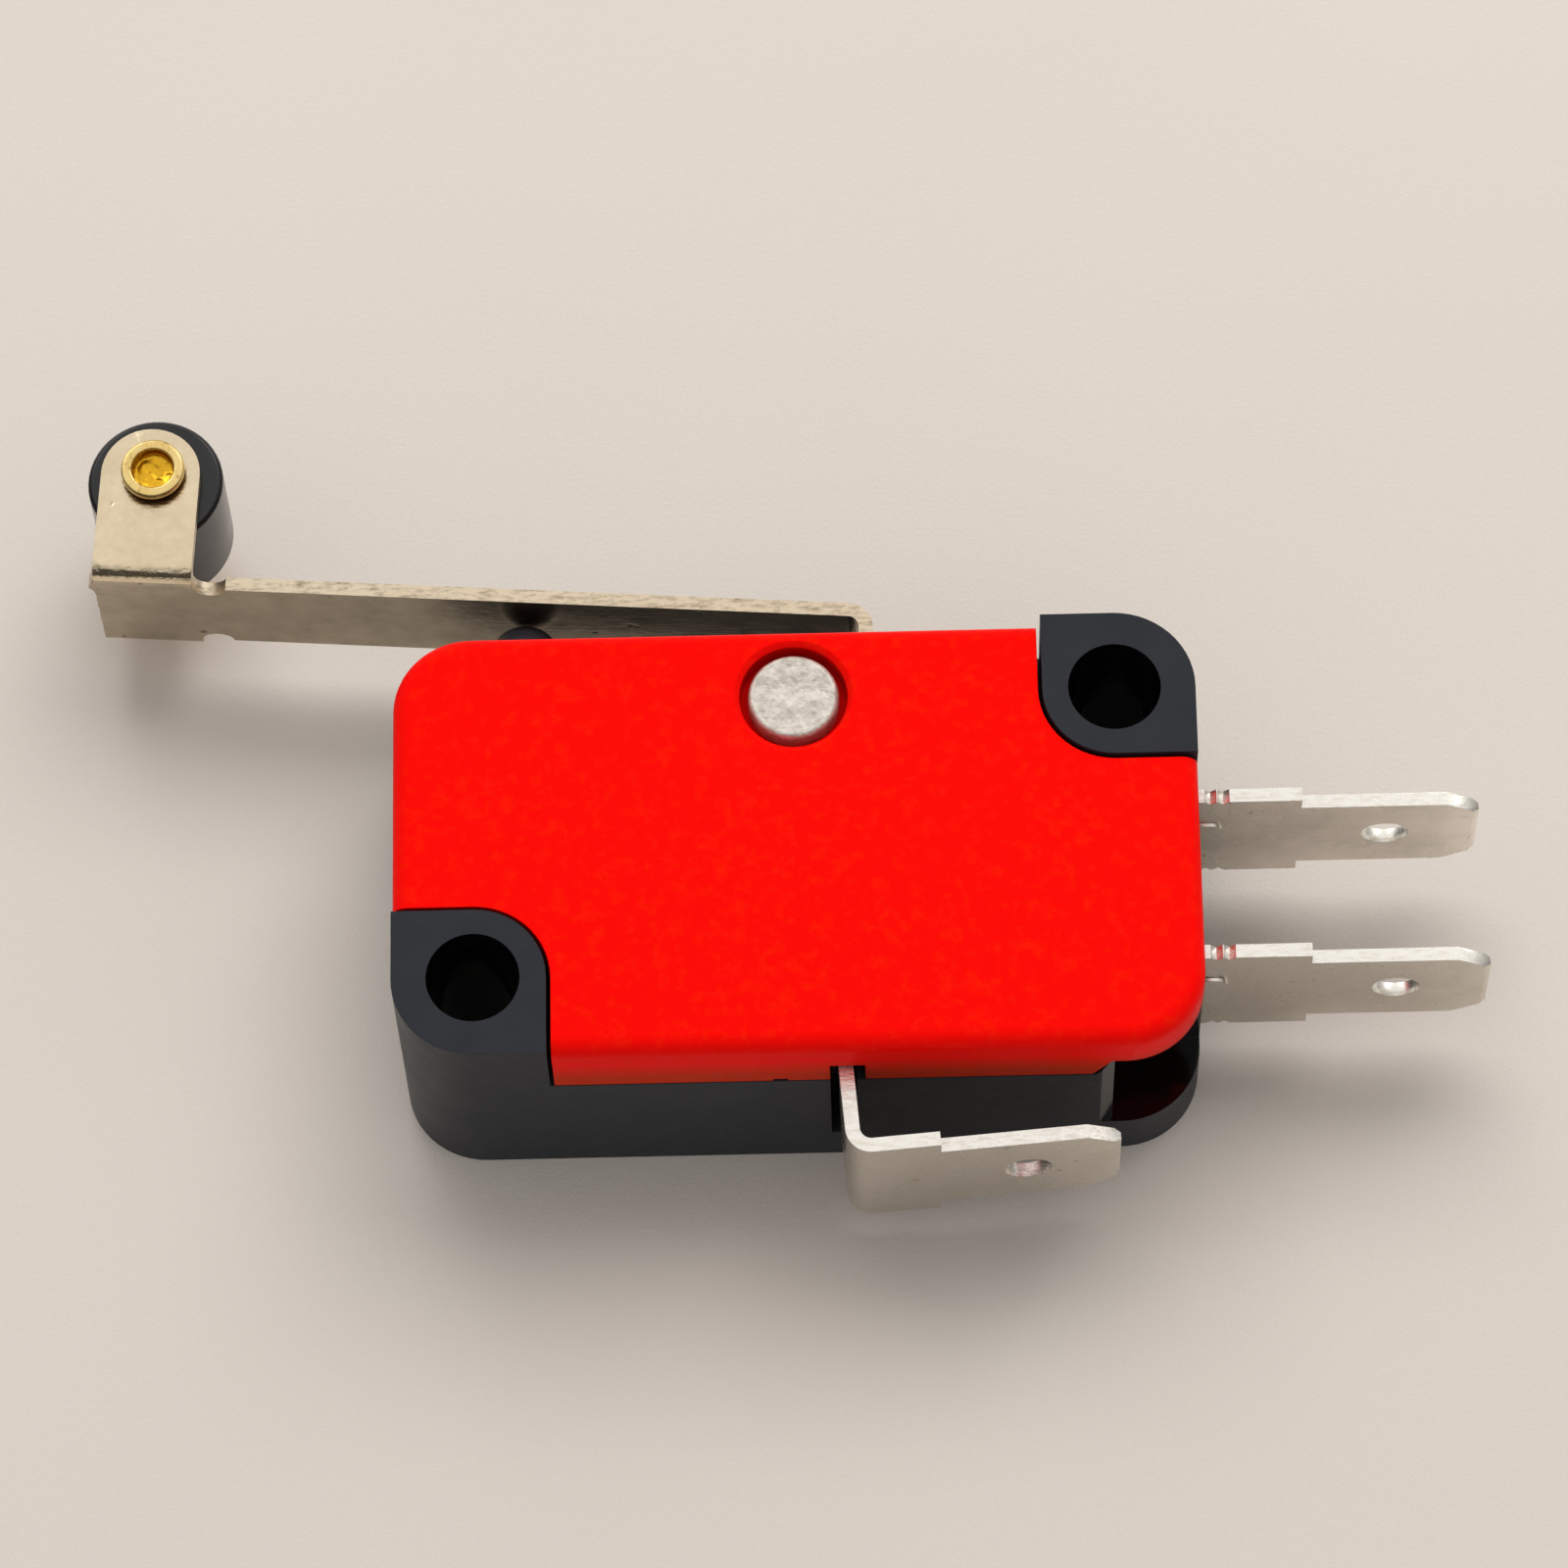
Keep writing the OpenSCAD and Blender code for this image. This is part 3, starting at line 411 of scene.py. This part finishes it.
# The lower sides are painted darker and more orange as shading, by height.
height = node(tree, "SeparateXYZ", {0: node(tree, "TexCoord").outputs["Object"]}).outputs["Z"]
tint = blended(tree, graded(tree, height, 0, 1, *cover_side_shading_band), tint, cover_side_shading_tint)
surface(tree, tint, graded(tree, grain.outputs["Mottle"], 0.38, 0.5, *rough_band),
        grain.outputs["Height"], cover_grain_depth, Specular_IOR_Level=cover_specular)
cover_shaded = moulding(
    "cover recess shaded", recess_shade_tint, recess_shade_tint_pale, roughness=0.6, grain_size=cover_grain_size,
    mottle_size=900, depth=cover_grain_depth, Specular_IOR_Level=cover_specular,
)


def sort_recess(bm):
    """Gives the walls and the floor round the rivet the darker, duller finish: painted shade with
    some dirt.
    """
    lid_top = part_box("cover")[1].z
    for face in bm.faces:
        middle = face.calc_center_median()
        if (middle - rivet_axis).xy.length < recess_reach and middle.z < lid_top - recess_rim:
            face.material_index = 1


bm = merged("cover", sort_recess)
round_edges(bm, cover_edge, sharper=35)
piece("cover_lid", bm, "housing", (cover_skin, cover_shaded), ("cover",))

# ---- Cover rivet ----
# A soft aluminium rivet, spun over in the cover's recess and in the back of the case.
# Its head is pitted by the snap tool and keeps a bright rolled rim.
rivet_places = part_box("cover_rivet")
rivet_head_radius = 0.001575
rivet_shank_radius = 0.0012
rivet_head_height = 0.00087
rivet_rim = 0.00022
rivet_dish = 0.00003
rivet_rings = 22
rivet_steps = 112
rivet_dent_size = 1900
rivet_pock_size = 5200
rivet_pit_depth = 0.00003
rim_pit_share = 0.45
rivet_tint = (0.78, 0.73, 0.67, 1)
rivet_tint_dull = (0.52, 0.475, 0.43, 1)
rivet_pit_tint = (0.36, 0.33, 0.30, 1)


def turned(profile, steps, place):
    """A turned piece: the profile of (radius, height) points, spun about the piece's own axis."""
    bm = bmesh.new()
    points = [bm.verts.new((r, 0, z)) for r, z in profile]
    edges = [bm.edges.new(pair) for pair in zip(points, points[1:])]
    bmesh.ops.spin(
        bm, geom=points + edges, cent=(0, 0, 0), axis=(0, 0, 1), angle=2 * math.pi,
        steps=steps, use_merge=True,
    )
    bmesh.ops.remove_doubles(bm, verts=bm.verts, dist=1e-8)
    bmesh.ops.recalc_face_normals(bm, faces=bm.faces)
    bmesh.ops.translate(bm, vec=place, verts=bm.verts)
    return bm


def rounded_head(radius, low, high, rim, rings, dish):
    """Profile points of a head from its outer wall over a rounded rim to its middle."""
    arc = [
        (radius - rim + rim * math.cos(a), high - rim + rim * math.sin(a))
        for a in (math.radians(15 * k) for k in range(7))
    ]
    flat = [
        ((radius - rim) * (1 - k / rings), high - dish * (k / rings) ** 0.5)
        for k in range(1, rings + 1)
    ]
    return [(radius, low)] + arc + flat


rivet_top = rivet_places[1].z
rivet_foot = rivet_places[0].z
rivet_middle = (rivet_top + rivet_foot) / 2
upper_head = rounded_head(rivet_head_radius, rivet_top - rivet_head_height, rivet_top,
                          rivet_rim, rivet_rings, rivet_dish)
lower_head = [(r, rivet_top + rivet_foot - z) for r, z in reversed(upper_head)]
bm = turned(
    lower_head + [(rivet_shank_radius, rivet_foot + rivet_head_height),
                  (rivet_shank_radius, rivet_top - rivet_head_height)] + upper_head,
    rivet_steps, Vector((rivet_axis.x, rivet_axis.y, 0)),
)
for vert in bm.verts:
    out = Vector((vert.co.x - rivet_axis.x, vert.co.y - rivet_axis.y)).length
    in_front = vert.co.z > rivet_middle
    level = rivet_top - vert.co.z if in_front else vert.co.z - rivet_foot
    if level < rivet_rim * 1.2 and out < rivet_head_radius:
        dent = noise.noise(vert.co * rivet_dent_size)
        pock = noise.noise(vert.co * rivet_pock_size)
        share = 1 if out < rivet_head_radius - rivet_rim else rim_pit_share
        sink = rivet_pit_depth * share * (dent + 0.7 * pock + 1.2)
        vert.co.z -= sink if in_front else -sink

rivet_skin, tree = new_tree("rivet aluminium")
pits = graded(tree, patches(tree, 3600, detail=6, rough=0.65), 0, 1, 0.60, 0.74)
clouds = graded(tree, patches(tree, 1900, detail=6, rough=0.7), 0, 1, 0.42, 0.66)
dull = blended(tree, clouds, rivet_tint, rivet_tint_dull)
surface(tree, blended(tree, pits, dull, rivet_pit_tint), graded(tree, pits, 0.5, 0.7),
        patches(tree, 6200, detail=5), depth=0.00005, Metallic=0.8)
piece("rivet_turned", bm, "housing", (rivet_skin,), ("cover_rivet",))

# ---- Terminals ----
# Three quick-connect tabs stamped from half-hard brass strip and bright plated.
# Their flat faces are satin and warm, and the sheared edges show bright and torn.
tab_thickness = 0.0005
tab_edge = 0.00005
nc_plating_painted_light_tint = (0.95, 0.885, 0.80, 1)
plating_tint = (0.76, 0.71, 0.625, 1)
plating_tint_dull = (0.66, 0.605, 0.52, 1)
plating_tint_stain = (0.40, 0.35, 0.28, 1)
shear_tint = (0.97, 0.955, 0.91, 1)
shear_tint_low = (0.78, 0.73, 0.65, 1)
cloud_band = (0.34, 0.68)
pit_band = (0.70, 0.77)
pit_strength = 0.8
rolling_line_size = 9000.0
rolling_line_share = 0.35
cloud_share = 1.6
bend_band = (0.80, 0.985)
bend_wrinkle_share = 2.4
bend_wrinkle_size = 4200.0
tear_band = (0.46, 0.68)
tear_stretch = (0.3, 1, 1)
through_reach = 1.6


def rolled_group():
    """Rolled and plated strip: a height, a mask of dull clouds and a mask of small pits."""
    tree = bpy.data.node_groups.new("Rolled Strip", "ShaderNodeTree")
    for label, kind, usual in (("Cloud Size", "NodeSocketFloat", 350.0),
                               ("Pit Size", "NodeSocketFloat", 2600.0),
                               ("Rolling", "NodeSocketVector", (0.06, 1.0, 1.0))):
        socket = tree.interface.new_socket(label, in_out="INPUT", socket_type=kind)
        socket.default_value = usual
    for label in ("Height", "Clouds", "Pits"):
        tree.interface.new_socket(label, in_out="OUTPUT", socket_type="NodeSocketFloat")
    given = tree.nodes.new("NodeGroupInput")
    out = tree.nodes.new("NodeGroupOutput")
    place = node(tree, "TexCoord").outputs["Object"]
    drawn = node(tree, "Mapping", {"Vector": place, "Scale": given.outputs[2]}).outputs[0]
    lines = node(tree, "TexNoise", {"Vector": drawn, "Scale": rolling_line_size,
                                    "Detail": 3.0}).outputs["Fac"]
    cloud = node(tree, "TexNoise", {"Vector": place, "Scale": given.outputs[0], "Detail": 5.0,
                                    "Roughness": 0.62}).outputs["Fac"]
    pits = node(tree, "TexNoise", {"Vector": place, "Scale": given.outputs[1], "Detail": 2.0,
                                   "Roughness": 0.5}).outputs["Fac"]
    pits = graded(tree, pits, 0, pit_strength, *pit_band)
    ripple = reckoned(tree, "MULTIPLY", lines, rolling_line_share)
    broad = reckoned(tree, "MULTIPLY", cloud, cloud_share)
    level = reckoned(tree, "ADD", ripple, broad)
    facing = node(tree, "VectorMath", {0: node(tree, "TexCoord").outputs["Normal"]},
                  operation="ABSOLUTE").outputs[0]
    facing = node(tree, "SeparateXYZ", {0: facing})
    squarest = reckoned(tree, "MAXIMUM", facing.outputs["X"], facing.outputs["Y"])
    squarest = reckoned(tree, "MAXIMUM", squarest, facing.outputs["Z"])
    strain = graded(tree, squarest, bend_wrinkle_share, 0, *bend_band)
    wrinkle = node(tree, "TexNoise", {"Vector": place, "Scale": bend_wrinkle_size,
                                      "Detail": 3.0}).outputs["Fac"]
    level = reckoned(tree, "ADD", level, reckoned(tree, "MULTIPLY", wrinkle, strain))
    level = reckoned(tree, "SUBTRACT", level, pits)
    for k, value in enumerate((level, cloud, pits)):
        tree.links.new(value, out.inputs[k])
    return tree


rolled_strip = rolled_group()


def plated(name, bright, dull, stain, roughness, cloud_size, pit_size, rolling, depth):
    """A plated strip face: clouds between a bright and a dull tint, with small stained pits."""
    material, tree = new_tree(name)
    strip = node(tree, "Group", node_tree=rolled_strip)
    strip.inputs[0].default_value = cloud_size
    strip.inputs[1].default_value = pit_size
    strip.inputs[2].default_value = rolling
    cloudy = graded(tree, strip.outputs["Clouds"], 0, 1, *cloud_band)
    tint = blended(tree, strip.outputs["Pits"], blended(tree, cloudy, bright, dull), stain)
    rough = graded(tree, strip.outputs["Clouds"], roughness - 0.06, roughness + 0.08, *rough_band)
    surface(tree, tint, rough, strip.outputs["Height"], depth, Metallic=1.0)
    return material


def sheared(name, bright, dark, roughness, tear_size, depth):
    """A cut edge: burnished high spots and torn low ones, finely ragged."""
    material, tree = new_tree(name)
    torn = patches(tree, tear_size, detail=5, stretch=tear_stretch, rough=0.7)
    mask = graded(tree, torn, 0, 1, *tear_band)
    surface(tree, blended(tree, mask, bright, dark), graded(tree, mask, roughness, roughness + 0.2),
            torn, depth, Metallic=0.9)
    return material


def cut_edges_of(thickness):
    """Gives the faces across a strip of this thickness the second finish."""
    def sort_faces(bm):
        shape = BVHTree.FromBMesh(bm)
        for face in bm.faces:
            start = face.calc_center_median() - face.normal * 1e-6
            through = shape.ray_cast(start, -face.normal, thickness * through_reach)
            face.material_index = 1 if through[0] is None else 0
    return sort_faces


plating_cut = sheared(
    "terminal cut edge", shear_tint, shear_tint_low, roughness=0.24, tear_size=6000, depth=0.000012,
)
# Painted light: the normally closed tab gets lighter plating tints than the other two, against the
# shade between the tabs.
for terminal, bright, dull in (
    ("nc_terminal", nc_plating_painted_light_tint, plating_tint),
    ("no_terminal", plating_tint, plating_tint_dull),
    ("com_terminal", plating_tint, plating_tint_dull),
):
    bm = merged(terminal, cut_edges_of(tab_thickness))
    round_edges(bm, tab_edge, sharper=40)
    plating = plated(
        terminal.replace("_", " ") + " plating", bright, dull, plating_tint_stain,
        roughness=0.26, cloud_size=420, pit_size=2300, rolling=(0.05, 1, 1), depth=0.00001,
    )
    piece(terminal.replace("terminal", "tab"), bm, "housing",
          (plating, plating_cut), (terminal,))

# ---- Contacts ----
# Silver contact rivets are headed into the two fixed tabs and the moving arm.
# Their faces are dull from cleaning, with a faint warm tarnish.
contact_edge = 0.00008
silver_tint = (0.80, 0.78, 0.74, 1)
silver_tint_dull = (0.62, 0.585, 0.52, 1)
silver_tarnish = (0.32, 0.27, 0.2, 1)

silver = plated(
    "contact silver", silver_tint, silver_tint_dull, silver_tarnish,
    roughness=0.36, cloud_size=900, pit_size=3000, rolling=(1, 1, 1), depth=0.00001,
)
for contact, body in (("nc_contact", "housing"), ("no_contact", "housing"),
                      ("moving_contact", "contact_arm")):
    bm = merged(contact)
    round_edges(bm, contact_edge)
    piece(contact + "_rivet", bm, body, (silver,), (contact,))

# ---- Snap mechanism ----
# The arm that carries the moving contact is phosphor bronze, and the rocker is nickel-plated steel.
# A tension coil of piano wire, hooked into both, snaps the arm over.
arm_edge = 0.00003
bronze_tint = (0.72, 0.47, 0.27, 1)
bronze_tint_dull = (0.52, 0.31, 0.16, 1)
bronze_stain = (0.22, 0.12, 0.06, 1)
steel_tint = (0.62, 0.60, 0.57, 1)
steel_tint_dull = (0.46, 0.44, 0.41, 1)
steel_stain = (0.2, 0.17, 0.14, 1)

bronze = plated(
    "arm bronze", bronze_tint, bronze_tint_dull, bronze_stain,
    roughness=0.32, cloud_size=500, pit_size=2600, rolling=(0.05, 1, 1), depth=0.00001,
)
rocker_plating = plated(
    "rocker plating", plating_tint, plating_tint_dull, steel_stain,
    roughness=0.3, cloud_size=500, pit_size=2600, rolling=(1, 0.05, 1), depth=0.00001,
)
spring_wire = plated(
    "spring wire", steel_tint, steel_tint_dull, steel_stain,
    roughness=0.26, cloud_size=1500, pit_size=4000, rolling=(1, 1, 1), depth=0.000004,
)
for part, name, body, slot, finish in (
    ("contact_arm", "contact_arm_strip", "contact_arm", "contact_arm", bronze),
    ("rocker", "rocker_strip", "rocker", "rocker", rocker_plating),
):
    bm = merged(part)
    round_edges(bm, arm_edge, steps=1, sharper=40)
    piece(name, bm, body, (finish,), (part,))

bm = merged("snap_spring")
coil = piece("snap_spring_wire", bm, None, (spring_wire,), ("snap_spring",))
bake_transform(coil)

# ---- Plunger ----
# The push button is turned smooth from a dark phenolic rod, with a domed top under the lever.
# It slides in the case's bore on its own polish.
plunger_edge = 0.00006
plunger_tint = (0.022, 0.0245, 0.031, 1)
plunger_tint_pale = (0.034, 0.037, 0.045, 1)

plunger_skin = moulding(
    "plunger phenolic", plunger_tint, plunger_tint_pale, roughness=0.3, grain_size=3000,
    mottle_size=900, depth=0.000004,
)
bm = merged("plunger")
round_edges(bm, plunger_edge, sharper=60)
piece("plunger_button", bm, "plunger", (plunger_skin,), ("plunger",))

# ---- Lever ----
# A stamped steel strip, nickel plated, with a yoke folded at its end for the roller.
# The ears are satin and warm, the long upright faces painted darker as shade, and the cut edges
# ragged.
# The cut at the yoke's free end keeps a small torn burr.
lever_thickness = 0.0005
lever_edge = 0.00005
nickel_tint = (0.86, 0.735, 0.53, 1)
nickel_tint_dull = (0.74, 0.62, 0.43, 1)
nickel_stain = (0.42, 0.34, 0.22, 1)
nickel_cut = (0.76, 0.65, 0.49, 1)
nickel_cut_low = (0.36, 0.29, 0.20, 1)
# Painted shade: the upright faces of the strip take these darker tints.
upright_shade_tint = (0.52, 0.445, 0.335, 1)
upright_shade_tint_dull = (0.40, 0.34, 0.245, 1)
upright_shade_stain = (0.10, 0.08, 0.06, 1)
shaded_upright_tilt = 0.3
end_slice = 0.0002
end_cuts = 40
end_longest = 0.001
end_raggedness = 0.00004
end_rag_size = 2600
burr_height = 0.0071
burr_reach = 0.00022
burr_spread = 0.0003

nickel = plated(
    "lever nickel", nickel_tint, nickel_tint_dull, nickel_stain,
    roughness=0.2, cloud_size=1300, pit_size=1700, rolling=(0.12, 1, 1), depth=0.00002,
)
nickel_upright_shaded = plated(
    "lever nickel upright shaded", upright_shade_tint, upright_shade_tint_dull, upright_shade_stain,
    roughness=0.2, cloud_size=900, pit_size=1500, rolling=(0.05, 1, 1), depth=0.000012,
)
nickel_edge = sheared(
    "lever cut edge", nickel_cut, nickel_cut_low, roughness=0.3, tear_size=5200, depth=0.00002,
)
bm = merged("lever", cut_edges_of(lever_thickness))
round_edges(bm, lever_edge, sharper=40)
# Faces standing upright get the darker material, which is painted shade.
for face in bm.faces:
    if face.material_index == 0 and abs(face.normal.z) < shaded_upright_tilt:
        face.material_index = 2
end_x = min(v.co.x for v in bm.verts)
end_edges = [
    e for e in bm.edges
    if all(v.co.x < end_x + end_slice for v in e.verts) and e.calc_length() > end_longest
]
bmesh.ops.subdivide_edges(bm, edges=end_edges, cuts=end_cuts, use_grid_fill=False)
for vert in bm.verts:
    if vert.co.x < end_x + end_slice:
        near = max(0.0, 1 - abs(vert.co.z - burr_height) / burr_spread)
        rag = end_raggedness * noise.noise(Vector((3, 5, vert.co.z * end_rag_size)))
        vert.co.x -= burr_reach * near ** 0.6 + rag
piece("lever_strip", bm, "lever", (nickel, nickel_edge, nickel_upright_shaded), ("lever",))

# ---- Roller axle ----
# A brass pin through the yoke, headed at the back and flared at the front over a drilled end.
# The drilled floor is rough and the flared ring is rolled bright. The hollow's wall and the neck
# under the flare are painted dark as shade.
brass_tint = (0.86, 0.62, 0.22, 1)
brass_tint_pale = (0.90, 0.73, 0.34, 1)
brass_tint_deep = (0.84, 0.47, 0.03, 1)
brass_tint_dark = (0.34, 0.17, 0.02, 1)
# Painted shade for the hollow's wall and for the neck under the flare.
brass_painted_shade_tint = (0.30, 0.155, 0.02, 1)
neck_painted_shade_tint = (0.02, 0.012, 0.006, 1)

axle_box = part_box("roller_axle")
roller_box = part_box("roller")
axle_place = (roller_box[0] + roller_box[1]) / 2
axle_top = axle_box[1].z - axle_place.z
axle_foot = axle_box[0].z - axle_place.z
axle_radius = 0.0009
foot_radius = 0.0013
foot_height = 0.00045
flare_radius = 0.00113
flare_height = 0.0003
hollow_radius = 0.000725
hollow_depth = 0.00056
hollow_rough = 0.00007
hollow_squeeze = 0.10
foot_fillet = 0.00012
collar_fillet = 0.00008
flare_fillet = 0.00013
mouth_fillet = 0.00011
floor_fillet = 0.00012
wall_step = 0.00004
fade_depth = 0.0002
axle_steps = 72

brass, tree = new_tree("axle brass")
wear = patches(tree, 1700, detail=5, rough=0.6)
level = node(tree, "SeparateXYZ", {0: node(tree, "TexCoord").outputs["Object"]}).outputs["Z"]
sunk = reckoned(tree, "SUBTRACT", axle_box[1].z, level)
deep = graded(tree, sunk, 0, 1, 0.0001, 0.0004)
tint = blended(tree, graded(tree, wear, 0, 1, 0.35, 0.7), brass_tint, brass_tint_pale)
tint = blended(tree, deep, tint, brass_tint_deep)
# Painted shade: the hollow's wall between the mouth and the floor is darkened.
below_mouth = graded(tree, sunk, 0, 1, 0.00008, 0.00025)
above_floor = graded(tree, sunk, 1, 0, 0.00038, 0.00050)
tint = blended(tree, reckoned(tree, "MULTIPLY", below_mouth, above_floor), tint, brass_painted_shade_tint)
stains = graded(tree, patches(tree, 2600), 0, 0.8, 0.6, 0.7)
tint = blended(tree, stains, tint, brass_tint_dark)
surface(tree, tint, graded(tree, wear, 0.2, 0.36, *rough_band), patches(tree, 3600),
        depth=0.000018, Metallic=1.0)


def swept_arc(x, z, radius, start, stop, count=6):
    """Profile points round a fillet about (x, z), from one angle to the other in degrees."""
    angles = (math.radians(start + (stop - start) * k / count) for k in range(count + 1))
    return [(x + radius * math.cos(a), z + radius * math.sin(a)) for a in angles]


hollow_floor = axle_top - hollow_depth
profile = (
    [(0, axle_foot)]
    + swept_arc(foot_radius - foot_fillet, axle_foot + foot_fillet, foot_fillet, -90, 0)
    + [(foot_radius, axle_foot + foot_height), (axle_radius, axle_foot + foot_height)]
    + [(axle_radius, axle_top - flare_height)]
    + swept_arc(flare_radius - collar_fillet, axle_top - flare_height + collar_fillet,
                collar_fillet, -90, 0, count=3)
    + swept_arc(flare_radius - flare_fillet, axle_top - flare_fillet, flare_fillet, 0, 90)
    + swept_arc(hollow_radius + mouth_fillet, axle_top - mouth_fillet, mouth_fillet, 90, 180)
    + [(hollow_radius, hollow_floor + floor_fillet + wall_step * k) for k in range(7, 0, -1)]
    + swept_arc(hollow_radius - floor_fillet, hollow_floor + floor_fillet, floor_fillet,
                0, -90, count=4)
    + [((hollow_radius - floor_fillet) * (1 - k / 12), hollow_floor) for k in range(1, 13)]
)
bm = turned(profile, axle_steps, axle_place)
for vert in bm.verts:
    up = vert.co.z - axle_place.z
    across = Vector((vert.co.x - axle_place.x, vert.co.y - axle_place.y))
    if up > hollow_floor - 0.00002 and across.length < hollow_radius + 0.00001:
        lump = noise.noise(vert.co * 1900) + 0.6 * noise.noise(vert.co * 4300)
        fade = min(1.0, max(0.0, (axle_top - up) / fade_depth))
        vert.co.z += hollow_rough * lump * fade
        squeeze = 1 + hollow_squeeze * noise.noise(vert.co * 900) * fade
        vert.co.x = axle_place.x + across.x * squeeze
        vert.co.y = axle_place.y + across.y * squeeze
# Painted shade: the neck under the flare takes a near-black brass.
neck_shade_below = axle_top - flare_height + 0.00004
for face in bm.faces:
    middle = face.calc_center_median() - axle_place
    if axle_radius * 0.9 < middle.xy.length < flare_radius and middle.z < neck_shade_below:
        face.material_index = 1
neck_shaded, tree = new_tree("axle brass neck shaded")
surface(tree, blended(tree, patches(tree, 1700, detail=5), brass_painted_shade_tint, neck_painted_shade_tint),
        graded(tree, patches(tree, 2400), 0.35, 0.55), Metallic=0.8)
piece("axle_pin", bm, "lever", (brass, neck_shaded), ("roller_axle",))

# ---- Roller ----
# A turned roller in glossy black nylon runs free on the axle between the yoke's ears.
# Its ends are chamfered, and its tread is polished by use.
roller_edge = 0.00005
roller_tint = (0.006, 0.0065, 0.008, 1)
roller_tint_pale = (0.011, 0.012, 0.0145, 1)

roller_skin = moulding(
    "roller nylon", roller_tint, roller_tint_pale, roughness=0.2, grain_size=2600,
    mottle_size=700, depth=0.000004,
)
bm = merged("roller")
round_edges(bm, roller_edge)
piece("roller_wheel", bm, "roller", (roller_skin,), ("roller",))
